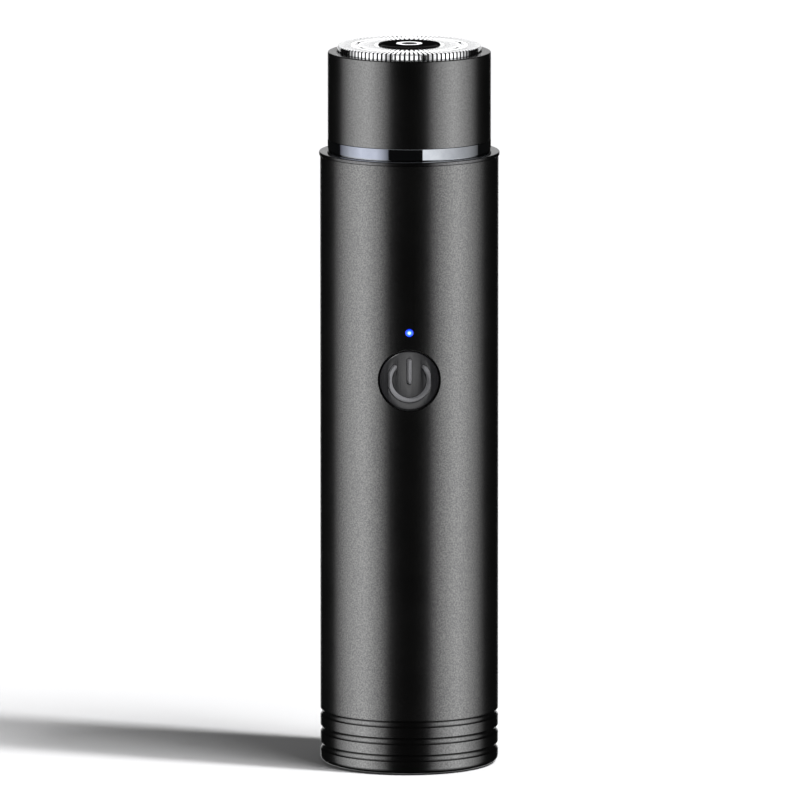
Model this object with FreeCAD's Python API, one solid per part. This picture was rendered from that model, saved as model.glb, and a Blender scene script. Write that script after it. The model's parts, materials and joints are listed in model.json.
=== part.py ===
"""Pocket rotary shaver: a slim cylindrical handle with one round cutting head on top.

The handle stands on its base. Z is the handle's axis and points up through the cutting head. The base
rests on Z = 0, and the button, the status light and the circuit board are on the -Y side.

From the outside in, the shaver is
  a tube closed by a screwed base cap below and by a collar and a polished neck above,
  a chassis inside it, which carries the cell, the board, the charging socket and the motor,
  a cutting head that pulls off the neck: a housing, a slotted net and a retainer that turns to let go,
  a cutter that spins under the net, driven by a sprung spindle on the motor's shaft.
All sizes are in millimetres.
"""

import FreeCAD, Part
import math
import os

V = FreeCAD.Vector

# ---------------------------------------------------------------- driving sizes

# Outer shell
HANDLE_RADIUS = 14.0
TUBE_WALL = 1.2
TUBE_LENGTH = 87.8
BASE_HEIGHT = 8.7
BASE_FLOOR = 1.9
BASE_EDGE_ROUND = 0.9
SPIGOT_WALL = 1.4
SPIGOT_HEIGHT = 3.5
FOOT_PROUD = 0.2
FOOT_THICK = 1.0
FOOT_INNER = 6.9
FOOT_OUTER = 11.6
COLLAR_HEIGHT = 0.6
COLLAR_PROUD = 0.17
BAND_HEIGHT = 1.9

# Grip grooves round the base cap
GROOVE_COUNT = 3
GROOVE_WIDTH = 1.15
GROOVE_DEPTH = 0.28
GROOVE_PITCH = 2.7
GROOVE_LAND = 0.03

# Neck
NECK_SKIRT_WALL = 1.2
NECK_LOOSE = 0.2
NECK_SKIRT_DEPTH = 8.0
NECK_BORE_WALL = 2.55
DECK_THICK = 1.2
DECK_BELOW_RIM = 1.8
SPIGOT_RIM = 3.6
SEAL_WIRE = 0.45

# Cutting head
HEAD_HEIGHT = 13.8
HEAD_WALL = 0.8
HEAD_RIM = 1.4
HEAD_LIP = 0.8
HEAD_EDGE_ROUND = 0.22
NET_PROUD = 1.0
NET_SKIN = 0.35
NET_WALL = 0.4
NET_FLANGE = 0.5
NET_EDGE = 0.25
NET_TRAVEL = 0.8
OUTER_SLOTS = 96
INNER_SLOTS = 60
SLOT_WIDTH = 0.3
TRACK_WIDTH = 2.6
VALLEY_WIDTH = 0.7
VALLEY_DEPTH = 0.25
BADGE_RADIUS = 4.9
BADGE_SINK = 0.3
BADGE_PROUD = 0.25
BADGE_STEM = 1.5

# Cutter, retainer and drive
BLADE_COUNT = 15
BLADE_THICK = 0.3
BLADE_RAKE = 14.0
BLADE_RISE = 2.1
BLADE_BASE = 0.35
CARRIER_THICK = 1.1
CARRIER_HUB = 3.6
CARRIER_DROP = 3.0
SOCKET_RISE = 0.35
KEY_LENGTH = 3.2
KEY_WIDTH = 1.7
SPINDLE_RADIUS = 2.8
SPINDLE_WALL = 0.7
SPINDLE_ROOF = 1.3
HUB_RADIUS = 2.0
HUB_FLAT = 1.6
HUB_LENGTH = 5.6
HUB_BITE = 3.4
SHAFT_RADIUS = 1.0
SPRING_RADIUS = 1.4
SPRING_WIRE = 0.15
SPRING_TURNS = 5
RETAINER_WALL = 0.75
RETAINER_FLOOR = 1.2
RETAINER_ARM = 1.8
LUG_HEIGHT = 0.95
LUG_ANGLE = 36.0
TAB_ANGLE = 30.0

# Motor
MOTOR_LENGTH = 25.0
MOTOR_WALL = 0.8
MOTOR_BELL = 2.6
MOTOR_BOSS = 3.0
MOTOR_BOSS_RISE = 1.5
MOUNT_THICK = 1.6
MOUNT_SCREW_OFFSET = 5.6
MAGNET_THICK = 1.45
AIR_GAP = 0.4

# Button and status light
BUTTON_BELOW_TOP = 33.8
BUTTON_RADIUS = 4.6
BUTTON_GAP = 0.28
BUTTON_SINK = 0.2
BUTTON_EDGE = 0.15
BUTTON_FLANGE = 0.7
BUTTON_GASKET = 0.8
BUTTON_FLANGE_THICK = 0.7
BUTTON_TRAVEL = 0.4
SYMBOL_RADIUS = 3.1
SYMBOL_STROKE = 0.75
SYMBOL_GAP_ANGLE = 48.0
SYMBOL_DEPTH = 0.55
SYMBOL_FILL = 0.2
LIGHT_ABOVE_BUTTON = 7.55
LIGHT_RADIUS = 0.65

# Cell, boards and charging socket
BOARD_DEPTH = 3.2
BOARD_THICK = 0.8
BOARD_EDGE_GAP = 0.55
BOARD_ABOVE_LIGHT = 5.0
MOTOR_BOARD_GAP = 0.5
CELL_RADIUS = 7.0
CELL_SHOULDER = 0.6
TAB_THICK = 0.2
TAB_WIDTH = 3.0
SWITCH_SIZE = 4.5
SWITCH_HEIGHT = 1.3
PLUNGER_RADIUS = 0.9
PLUNGER_RISE = 0.6
SOCKET_WIDTH = 8.94
SOCKET_DEPTH = 3.26
SOCKET_LENGTH = 7.3
SOCKET_SKIN = 0.3
CONTACT_COUNT = 12
POCKET_WIDTH = 12.8
POCKET_DEPTH = 7.0
POCKET_SINK = 1.2

# Chassis
CHASSIS_WALL = 1.2
CHASSIS_PLATE = 2.2
CHASSIS_RIB = 1.6
CHASSIS_FRONT = 4.0
CHASSIS_BOSS = 4.5
CELL_GAP = 0.2
CELL_SNAP = 0.96
BOSS_RADIUS = 2.2
MOTOR_SEAT = 2.2
SEAT_OPENING = 3.4
LEAD_ROOM = 4.2
TERMINAL_X = 4.6
PORT_POST_X = 5.7
CABLE_X = (-4.5, -2.6)
CABLE_THICK = 0.25

# Screws: shank radius, head radius and head height
SCREW = (0.95, 1.75, 1.2)
SMALL_SCREW = (0.75, 1.25, 0.9)

# Clearances between neighbours
PRESS_GAP = 0.05
RUN_GAP = 0.05
SLIDE_GAP = 0.1
SEAT_GAP = 0.15
LOOSE_GAP = 0.3

# ---------------------------------------------------------------- places that follow from them

TUBE_BORE = HANDLE_RADIUS - TUBE_WALL
TUBE_TOP = BASE_HEIGHT + TUBE_LENGTH
COLLAR_TOP = TUBE_TOP + COLLAR_HEIGHT
BUTTON_Z = TUBE_TOP - BUTTON_BELOW_TOP
LIGHT_Z = BUTTON_Z + LIGHT_ABOVE_BUTTON
BAND_TOP = COLLAR_TOP + BAND_HEIGHT
CAP_SPIGOT = TUBE_BORE - PRESS_GAP
NECK_RADIUS = TUBE_BORE - NECK_LOOSE
FLOOR_TOP = FOOT_PROUD + BASE_FLOOR
SPIGOT_TOP = BASE_HEIGHT + SPIGOT_HEIGHT
SPIGOT_BORE = CAP_SPIGOT - SPIGOT_WALL

HEAD_RADIUS = TUBE_BORE
BAND_RADIUS = HEAD_RADIUS
HEAD_BOTTOM = BAND_TOP + PRESS_GAP
HEAD_TOP = HEAD_BOTTOM + HEAD_HEIGHT
HEAD_BORE = HEAD_RADIUS - HEAD_WALL
LIP_BORE = HEAD_RADIUS - HEAD_RIM
LIP_UNDER = HEAD_TOP - HEAD_LIP
SPIGOT_RADIUS = HEAD_BORE - SEAT_GAP
RIM_TOP = BAND_TOP + SPIGOT_RIM
DECK_TOP = RIM_TOP - DECK_BELOW_RIM
NECK_INNER = NECK_RADIUS - NECK_BORE_WALL

NET_RADIUS = LIP_BORE - SLIDE_GAP
NET_TOP = HEAD_TOP + NET_PROUD
FLANGE_RADIUS = HEAD_BORE - SLIDE_GAP
FLANGE_TOP = LIP_UNDER - RUN_GAP
FLANGE_BOTTOM = FLANGE_TOP - NET_FLANGE
NET_UNDER = NET_TOP - NET_SKIN
OUTER_TRACK = NET_RADIUS - TRACK_WIDTH
INNER_TRACK = OUTER_TRACK - VALLEY_WIDTH
TRACK_END = INNER_TRACK - TRACK_WIDTH

BLADE_TOP = NET_UNDER - RUN_GAP
BLADE_FOOT = BLADE_TOP - BLADE_RISE
CARRIER_TOP = BLADE_FOOT - BLADE_BASE
CARRIER_UNDER = CARRIER_TOP - CARRIER_THICK
HUB_UNDER = CARRIER_UNDER - CARRIER_DROP
CUTTER_RADIUS = NET_RADIUS - NET_WALL - 2 * LOOSE_GAP
KEY_TOP = CARRIER_UNDER + SOCKET_RISE - RUN_GAP
SPINDLE_TOP = HUB_UNDER - LOOSE_GAP

RETAINER_TOP = FLANGE_BOTTOM - NET_TRAVEL - RUN_GAP
RETAINER_RADIUS = FLANGE_RADIUS - LOOSE_GAP - SLIDE_GAP
RETAINER_BORE = RETAINER_RADIUS - RETAINER_WALL
RETAINER_FLOOR_TOP = HUB_UNDER - NET_TRAVEL - LOOSE_GAP
RETAINER_UNDER = RETAINER_FLOOR_TOP - RETAINER_FLOOR
LUG_TOP = RETAINER_UNDER - RUN_GAP

MOUNT_TOP = COLLAR_TOP - 2.1
MOTOR_TOP = MOUNT_TOP - MOUNT_THICK
MOTOR_BOTTOM = MOTOR_TOP - MOTOR_LENGTH
BELL_TOP = MOTOR_BOTTOM + MOTOR_BELL
SKIRT_BOTTOM = COLLAR_TOP - NECK_SKIRT_DEPTH
HUB_BOTTOM = MOTOR_TOP + MOTOR_BOSS_RISE + 1.1
HUB_TOP = HUB_BOTTOM + HUB_LENGTH
SPINDLE_BOTTOM = HUB_TOP - HUB_BITE
SPINDLE_BORE = SPINDLE_RADIUS - SPINDLE_WALL
SPINDLE_BORE_TOP = SPINDLE_TOP - SPINDLE_ROOF

BOARD_FRONT = TUBE_BORE - BOARD_DEPTH
BOARD_BACK = BOARD_FRONT - BOARD_THICK
BOARD_HALF = math.sqrt(TUBE_BORE ** 2 - BOARD_FRONT ** 2) - BOARD_EDGE_GAP
MOTOR_RADIUS = BOARD_BACK - MOTOR_BOARD_GAP
CELL_Y = max(0.0, CELL_RADIUS + LOOSE_GAP - BOARD_BACK)

CHASSIS_RADIUS = TUBE_BORE - 0.2
CHASSIS_BOTTOM = SPIGOT_TOP + 0.2
CHASSIS_FLOOR = CHASSIS_BOTTOM + CHASSIS_PLATE
CHASSIS_TOP = SKIRT_BOTTOM
SEAT_UNDER = MOTOR_BOTTOM - MOTOR_SEAT
CELL_BOTTOM = CHASSIS_FLOOR + TAB_THICK
CELL_TOP = MOTOR_BOTTOM - LEAD_ROOM
BOARD_BOTTOM = CHASSIS_BOTTOM + LOOSE_GAP
BOARD_TOP = LIGHT_Z + BOARD_ABOVE_LIGHT
BASE_SCREW_Y = SPIGOT_BORE - BOSS_RADIUS - LOOSE_GAP
CHASSIS_SCREW_X = CHASSIS_RADIUS - BOSS_RADIUS
BOARD_SCREW_X = BOARD_HALF - 2.4

SOCKET_BOTTOM = FOOT_PROUD + POCKET_SINK + SLIDE_GAP
SOCKET_TOP = SOCKET_BOTTOM + SOCKET_LENGTH
PORT_BOARD_TOP = SOCKET_TOP + BOARD_THICK


# ---------------------------------------------------------------- helpers

def rod(radius, low, high, x=0.0, y=0.0):
    """A cylinder along Z."""
    return Part.makeCylinder(radius, high - low, V(x, y, low))


def ring(outer, inner, low, high, x=0.0, y=0.0):
    """A straight tube along Z."""
    return rod(outer, low, high, x, y).cut(rod(inner, low - 1, high + 1, x, y))


def block(x, y, z):
    """A box between the pairs x, y and z."""
    return Part.makeBox(x[1] - x[0], y[1] - y[0], z[1] - z[0], V(x[0], y[0], z[0]))


def front_rod(radius, front, back, x, z):
    """A cylinder along Y, between the depths y = -front and y = -back."""
    return Part.makeCylinder(radius, front - back, V(x, -front, z), V(0, 1, 0))


def turned(outline):
    """A solid of revolution about Z from (radius, height) corners."""
    points = [V(r, 0, z) for r, z in outline]
    face = Part.Face(Part.makePolygon(points + points[:1]))
    return face.revolve(V(0, 0, 0), V(0, 0, 1), 360)


def around(shape, count, start=0.0):
    """The shape and its copies, evenly spaced round Z."""
    copies = []
    for i in range(count):
        copy = shape.copy()
        copy.rotate(V(0, 0, 0), V(0, 0, 1), start + 360.0 * i / count)
        copies.append(copy)
    return copies


def sector(outer, inner, low, high, middle, angle):
    """A piece of a straight tube, angle degrees wide about the direction middle."""
    piece = Part.makeCylinder(outer, high - low, V(0, 0, low), V(0, 0, 1), angle)
    piece.rotate(V(0, 0, 0), V(0, 0, 1), middle - angle / 2.0)
    return piece.cut(rod(inner, low - 1, high + 1))


def joined(shapes):
    """All the shapes as one solid."""
    whole = shapes[0]
    for shape in shapes[1:]:
        whole = whole.fuse(shape)
    return tidied(whole)


def tidied(shape):
    """The shape with its split faces merged, where that leaves it sound."""
    merged = shape.copy().removeSplitter()
    if sound(merged) and abs(merged.Volume - shape.Volume) < 1e-3:
        return merged
    return shape


def sound(shape):
    """Whether the shape is made of valid closed solids and nothing else."""
    if not shape.Solids or not shape.isValid():
        return False
    return all(s.isValid() and s.isClosed() and s.Volume > 0 for s in shape.Solids)


def pan_screw(size, seat, tip, x, y, up=True):
    """A pan-head screw along Z: seat is under its head, and tip is its end."""
    shank, head, height = size
    if up:
        parts = [rod(shank, seat, tip, x, y), rod(head, seat - height, seat, x, y)]
        slot_low = seat - height
    else:
        parts = [rod(shank, tip, seat, x, y), rod(head, seat, seat + height, x, y)]
        slot_low = seat + height / 2.0
    cross = [block((x - head * 0.6, x + head * 0.6), (y - 0.2, y + 0.2), (slot_low, slot_low + height / 2.0)),
             block((x - 0.2, x + 0.2), (y - head * 0.6, y + head * 0.6), (slot_low, slot_low + height / 2.0))]
    return joined(parts).cut(cross[0]).cut(cross[1])


def lead(points, radius):
    """An insulated wire along straight runs joined by tangent arcs."""
    corners = [V(*p) for p in points]
    edges = []
    start = corners[0]
    for i in range(1, len(corners) - 1):
        before = corners[i] - corners[i - 1]
        after = corners[i + 1] - corners[i]
        run = 0.45 * min(before.Length, after.Length)
        before.normalize()
        after.normalize()
        arc_start = corners[i] - before * run
        arc_end = corners[i] + after * run
        turn = before.getAngle(after)
        bend = run / math.tan(turn / 2.0)
        inward = after - before
        inward.normalize()
        middle = corners[i] + inward * (bend / math.cos(turn / 2.0) - bend)
        edges.append(Part.LineSegment(start, arc_start).toShape())
        edges.append(Part.Arc(arc_start, middle, arc_end).toShape())
        start = arc_end
    edges.append(Part.LineSegment(start, corners[-1]).toShape())
    path = Part.Wire(edges)
    first = corners[1] - corners[0]
    section = Part.Wire(Part.makeCircle(radius, corners[0], first))
    return path.makePipeShell([section], True, True)


# ---------------------------------------------------------------- handle: the outer shell

def body_tube():
    """The painted aluminium tube, with the button's hole and the light's hole."""
    tube = ring(HANDLE_RADIUS, TUBE_BORE, BASE_HEIGHT, TUBE_TOP)
    button_hole = front_rod(BUTTON_RADIUS + BUTTON_GAP, HANDLE_RADIUS + 1, 1, 0, BUTTON_Z)
    light_hole = front_rod(LIGHT_RADIUS, HANDLE_RADIUS + 1, 1, 0, LIGHT_Z)
    return tube.cut(button_hole).cut(light_hole)


def base_cap():
    """The grooved cap below the tube, with a spigot, a foot groove, a plug pocket and screw bosses."""
    cap = turned([
        (0, FOOT_PROUD), (HANDLE_RADIUS, FOOT_PROUD), (HANDLE_RADIUS, BASE_HEIGHT),
        (CAP_SPIGOT, BASE_HEIGHT), (CAP_SPIGOT, SPIGOT_TOP), (SPIGOT_BORE, SPIGOT_TOP),
        (SPIGOT_BORE, FLOOR_TOP), (0, FLOOR_TOP)])
    corner = [e for e in cap.Edges if abs(e.BoundBox.ZMin - FOOT_PROUD) < 1e-6
              and abs(e.BoundBox.ZMax - FOOT_PROUD) < 1e-6 and e.BoundBox.XMax > HANDLE_RADIUS - 1e-6]
    cap = cap.makeFillet(BASE_EDGE_ROUND, corner)
    arc = (GROOVE_WIDTH ** 2 / 4 + GROOVE_DEPTH ** 2) / (2 * GROOVE_DEPTH)
    for i in range(GROOVE_COUNT):
        height = BASE_HEIGHT - GROOVE_LAND - GROOVE_WIDTH / 2 - i * GROOVE_PITCH
        cap = cap.cut(Part.makeTorus(HANDLE_RADIUS + arc - GROOVE_DEPTH, arc, V(0, 0, height)))
    foot_seat = ring(FOOT_OUTER + SLIDE_GAP, FOOT_INNER - SLIDE_GAP, 0, FOOT_THICK)
    pocket = rounded_slot(POCKET_WIDTH, POCKET_DEPTH, 0, FOOT_PROUD + POCKET_SINK)
    mouth = rounded_slot(SOCKET_WIDTH + 2 * SLIDE_GAP, SOCKET_DEPTH + 2 * SLIDE_GAP, 0, FLOOR_TOP + 1)
    cap = cap.cut(foot_seat).cut(seal_groove(CAP_SPIGOT + 1, TUBE_BORE, base_seal_z()))
    for x in (-PORT_POST_X, PORT_POST_X):
        cap = cap.fuse(port_post(x, FLOOR_TOP - 0.3, SOCKET_TOP))
    for y in (-BASE_SCREW_Y, BASE_SCREW_Y):
        cap = cap.fuse(rod(BOSS_RADIUS + 0.2, FOOT_THICK, base_boss_top(), 0, y))
        cap = cap.cut(rod(SCREW[1] + SLIDE_GAP, FOOT_THICK - 0.5, base_screw_seat(), 0, y))
        cap = cap.cut(rod(SCREW[0] + SLIDE_GAP, FOOT_THICK, base_boss_top() + 1, 0, y))
    return tidied(cap.cut(pocket).cut(mouth))


def port_post(x, low, high):
    """A post that holds the socket's board, centred on x."""
    return block((x - 0.6, x + 0.6), (-2.0, 2.0), (low, high))


def seal_groove(outer, seal_outer, z):
    """The ring of material that a seal of outer radius seal_outer needs removed at height z."""
    half = SEAL_WIRE + PRESS_GAP
    return ring(outer, seal_outer - 2 * SEAL_WIRE, z - half, z + half)


def base_seal_z():
    """Height of the seal between the base cap's spigot and the tube."""
    return BASE_HEIGHT + SPIGOT_HEIGHT / 2


def base_screw_seat():
    """Height of the face under the base screws' heads, hidden by the foot ring."""
    return FOOT_THICK + SCREW[2] + SLIDE_GAP


def base_boss_top():
    """Height of the base cap's screw bosses."""
    return base_screw_seat() + 1.4


def rounded_slot(width, depth, low, high):
    """A bar along Z with a racetrack section, width along X and depth along Y."""
    half = (width - depth) / 2
    side = depth / 2
    edges = [
        Part.LineSegment(V(-half, -side, low), V(half, -side, low)).toShape(),
        Part.Arc(V(half, -side, low), V(half + side, 0, low), V(half, side, low)).toShape(),
        Part.LineSegment(V(half, side, low), V(-half, side, low)).toShape(),
        Part.Arc(V(-half, side, low), V(-half - side, 0, low), V(-half, -side, low)).toShape()]
    return Part.Face(Part.Wire(edges)).extrude(V(0, 0, high - low))


def foot_ring():
    """The rubber foot, which also hides the base screws."""
    foot = ring(FOOT_OUTER, FOOT_INNER, 0, FOOT_THICK)
    edges = [e for e in foot.Edges if e.BoundBox.ZMax < 1e-6]
    return foot.makeFillet(FOOT_PROUD * 0.75, edges)


def base_screws():
    """Two screws that hold the base cap to the chassis."""
    tip = CHASSIS_BOTTOM - 0.6
    return Part.makeCompound([pan_screw(SCREW, base_screw_seat(), tip, 0, y)
                              for y in (-BASE_SCREW_Y, BASE_SCREW_Y)])


def base_seal():
    """O-ring between the base cap and the tube."""
    return Part.makeTorus(TUBE_BORE - SEAL_WIRE, SEAL_WIRE, V(0, 0, base_seal_z()))


def collar_ring():
    """The trim ring that caps the tube's top edge and stands a little proud of it."""
    collar = ring(HANDLE_RADIUS + COLLAR_PROUD, NECK_RADIUS + PRESS_GAP, TUBE_TOP, COLLAR_TOP)
    edges = [e for e in collar.Edges if e.BoundBox.XMax > HANDLE_RADIUS
             and e.BoundBox.ZMax - e.BoundBox.ZMin < 1e-6]
    return collar.makeFillet(COLLAR_PROUD * 0.9, edges)


def neck_housing():
    """Neck between handle and head: a skirt in the tube, the polished band, and the head's spigot."""
    deck_under = DECK_TOP - DECK_THICK
    skirt_bore = NECK_RADIUS - NECK_SKIRT_WALL
    neck = turned([
        (skirt_bore, SKIRT_BOTTOM), (NECK_RADIUS, SKIRT_BOTTOM), (NECK_RADIUS, COLLAR_TOP),
        (BAND_RADIUS, COLLAR_TOP), (BAND_RADIUS, BAND_TOP), (SPIGOT_RADIUS, BAND_TOP),
        (SPIGOT_RADIUS, RIM_TOP), (NECK_INNER, RIM_TOP), (NECK_INNER, DECK_TOP),
        (0, DECK_TOP), (0, deck_under), (NECK_INNER, deck_under), (NECK_INNER, MOUNT_TOP),
        (skirt_bore, MOUNT_TOP)])
    neck = neck.fuse(rod(shaft_seal_radius() + 1.3, deck_under, DECK_TOP + 1.4))
    for x in (-CHASSIS_SCREW_X, CHASSIS_SCREW_X):
        boss = rod(BOSS_RADIUS, SKIRT_BOTTOM, TUBE_TOP, x, 0)
        boss = boss.common(rod(NECK_RADIUS - 0.1, SKIRT_BOTTOM, TUBE_TOP))
        neck = neck.fuse(boss)
    neck = neck.cut(rod(MOTOR_RADIUS + SEAT_GAP, SKIRT_BOTTOM - 1, MOUNT_TOP))
    neck = neck.cut(rod(SPINDLE_RADIUS + LOOSE_GAP, deck_under - 1, DECK_TOP + 3))
    neck = neck.cut(rod(shaft_seal_radius(), DECK_TOP - 0.2, DECK_TOP + 3))
    neck = neck.cut(seal_groove(NECK_RADIUS + 1, TUBE_BORE, neck_seal_z()))
    neck = neck.cut(seal_groove(SPIGOT_RADIUS + 1, SPIGOT_RADIUS + SLIDE_GAP, head_seal_z()))
    for x in (-CHASSIS_SCREW_X, CHASSIS_SCREW_X):
        neck = neck.cut(rod(SCREW[0], SKIRT_BOTTOM - 1, MOUNT_TOP + 0.2, x, 0))
    return tidied(neck)


def shaft_seal_radius():
    """Outer radius of the seal round the spindle."""
    return SPINDLE_RADIUS + 0.9


def neck_seal_z():
    """Height of the seal between the neck and the tube."""
    return COLLAR_TOP - 1.3


def head_seal_z():
    """Height of the seal that grips the head housing."""
    return BAND_TOP + 1.3


def neck_seal():
    """O-ring between the neck and the tube."""
    return Part.makeTorus(TUBE_BORE - SEAL_WIRE, SEAL_WIRE, V(0, 0, neck_seal_z()))


def head_seal():
    """O-ring on the spigot that holds the head by friction."""
    return Part.makeTorus(SPIGOT_RADIUS + SLIDE_GAP - SEAL_WIRE, SEAL_WIRE, V(0, 0, head_seal_z()))


def shaft_seal():
    """Lip seal that keeps hair and water out where the spindle comes through the neck."""
    low = DECK_TOP - 0.2
    return turned([
        (SPINDLE_RADIUS + RUN_GAP, low), (shaft_seal_radius(), low), (shaft_seal_radius(), low + 1.4),
        (SPINDLE_RADIUS + 0.55, low + 1.4), (SPINDLE_RADIUS + 0.25, low + 0.7),
        (SPINDLE_RADIUS + RUN_GAP, low + 0.5)])


# ---------------------------------------------------------------- handle: button and light

def button_shell(radius, outer, inner):
    """A shell round Z, from radius inner to outer, kept only within radius of the button's axis."""
    punch = front_rod(radius, HANDLE_RADIUS + 1, 1, 0, BUTTON_Z)
    return ring(outer, inner, BUTTON_Z - radius - 1, BUTTON_Z + radius + 1).common(punch)


def symbol_prism():
    """The standby mark as two prisms along Y: an open ring, and a bar in its gap."""
    half = SYMBOL_STROKE / 2
    front = -HANDLE_RADIUS - 1

    def at(radius, degrees, lift=0.0):
        turn = math.radians(degrees)
        return V(radius * math.sin(turn), front, BUTTON_Z + radius * math.cos(turn) + lift)

    outer = SYMBOL_RADIUS + half
    inner = SYMBOL_RADIUS - half
    gap = SYMBOL_GAP_ANGLE
    cap = math.degrees(half / SYMBOL_RADIUS)
    ring_edges = [
        Part.Arc(at(outer, gap), at(outer, 180), at(outer, -gap)).toShape(),
        Part.Arc(at(outer, -gap), at(SYMBOL_RADIUS, -gap + cap), at(inner, -gap)).toShape(),
        Part.Arc(at(inner, -gap), at(inner, 180), at(inner, gap)).toShape(),
        Part.Arc(at(inner, gap), at(SYMBOL_RADIUS, gap - cap), at(outer, gap)).toShape()]
    low = BUTTON_Z - 0.2
    high = BUTTON_Z + SYMBOL_RADIUS
    bar_edges = [
        Part.LineSegment(V(half, front, low), V(half, front, high)).toShape(),
        Part.Arc(V(half, front, high), V(0, front, high + half), V(-half, front, high)).toShape(),
        Part.LineSegment(V(-half, front, high), V(-half, front, low)).toShape(),
        Part.Arc(V(-half, front, low), V(0, front, low - half), V(half, front, low)).toShape()]
    return [Part.Face(Part.Wire(edges)).extrude(V(0, HANDLE_RADIUS, 0)) for edges in (ring_edges, bar_edges)]


def power_button():
    """The button cap: a face that follows the tube, a flange inside the tube, and a stem to the switch."""
    face = HANDLE_RADIUS - BUTTON_SINK
    flange_outer = TUBE_BORE - LOOSE_GAP
    flange_inner = flange_outer - BUTTON_FLANGE_THICK
    cap = button_shell(BUTTON_RADIUS, face, flange_inner)
    rim = [e for e in cap.Edges if e.BoundBox.YMax < -(TUBE_BORE + 0.1) and len(e.Vertexes) < 3]
    cap = cap.makeFillet(BUTTON_EDGE, rim)
    flange = button_shell(BUTTON_RADIUS + BUTTON_FLANGE, flange_outer, flange_inner)
    stem = front_rod(1.3, flange_outer - 0.2, plunger_front(), 0, BUTTON_Z)
    button = joined([cap, flange, stem])
    for piece in symbol_prism():
        button = button.cut(piece.cut(rod(face - SYMBOL_DEPTH, BUTTON_Z - 9, BUTTON_Z + 9)))
    return button


def power_symbol():
    """The pale standby mark, set into the button a little below its face."""
    face = HANDLE_RADIUS - BUTTON_SINK
    floor = face - SYMBOL_DEPTH
    layer = ring(floor + SYMBOL_FILL, floor, BUTTON_Z - 9, BUTTON_Z + 9)
    return Part.makeCompound([solid for piece in symbol_prism() for solid in piece.common(layer).Solids])


def button_gasket():
    """Silicone gasket, stuck inside the tube round the button's flange."""
    hole = BUTTON_RADIUS + BUTTON_FLANGE + SEAT_GAP
    rim = button_shell(hole + BUTTON_GASKET, TUBE_BORE, TUBE_BORE - 0.6)
    return rim.cut(front_rod(hole, HANDLE_RADIUS + 1, 1, 0, BUTTON_Z))


def plunger_front():
    """Depth of the switch plunger's face, which the button's stem touches."""
    return BOARD_FRONT + SWITCH_HEIGHT + PLUNGER_RISE


def switch_plunger():
    """The switch's moving plunger."""
    return front_rod(PLUNGER_RADIUS, plunger_front(), BOARD_FRONT + BUTTON_TRAVEL + SLIDE_GAP, 0, BUTTON_Z)


def tact_switch():
    """The fixed body of the push switch, open in the middle for its plunger."""
    half = SWITCH_SIZE / 2
    depth = (-BOARD_FRONT - SWITCH_HEIGHT, -BOARD_FRONT)
    body = block((-half, half), depth, (BUTTON_Z - half, BUTTON_Z + half))
    feet = [block((x - 0.35, x + 0.35), (-BOARD_FRONT - 0.3, -BOARD_FRONT), (z - 0.5, z + 0.5))
            for x in (-1.3, 1.3) for z in (BUTTON_Z - half - 0.4, BUTTON_Z + half + 0.4)]
    return joined([body] + feet).cut(front_rod(PLUNGER_RADIUS + SLIDE_GAP, HANDLE_RADIUS, 1, 0, BUTTON_Z)
                                     .common(block((-2, 2), (-HANDLE_RADIUS, -BOARD_FRONT), (0, TUBE_TOP))))


def led_lens():
    """Light pipe: a clear pin with a domed tip and a flange inside the tube."""
    pin = front_rod(LIGHT_RADIUS, HANDLE_RADIUS - 0.15, BOARD_FRONT + 0.75, 0, LIGHT_Z)
    dome = Part.makeSphere(LIGHT_RADIUS, V(0, 0, 0))
    dome.scale(0.999)
    squash = FreeCAD.Matrix()
    squash.scale(1.0, 0.35, 1.0)
    dome = dome.transformGeometry(squash)
    dome.translate(V(0, -HANDLE_RADIUS + 0.15, LIGHT_Z))
    flange = front_rod(LIGHT_RADIUS * 1.6, TUBE_BORE - SLIDE_GAP, TUBE_BORE - 0.8, 0, LIGHT_Z)
    return joined([pin, dome, flange])


def status_led():
    """The blue light-emitting diode on the board, behind the light pipe."""
    return block((-0.8, 0.8), (-BOARD_FRONT - 0.6, -BOARD_FRONT), (LIGHT_Z - 0.5, LIGHT_Z + 0.5))


# ---------------------------------------------------------------- handle: chassis and electronics

def rib_heights():
    """Heights of the ribs that hold the cell and the motor."""
    cell_room = CELL_TOP - CHASSIS_FLOOR
    return [CHASSIS_FLOOR + cell_room * share for share in (0.08, 0.36, 0.64, 0.88)]


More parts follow.
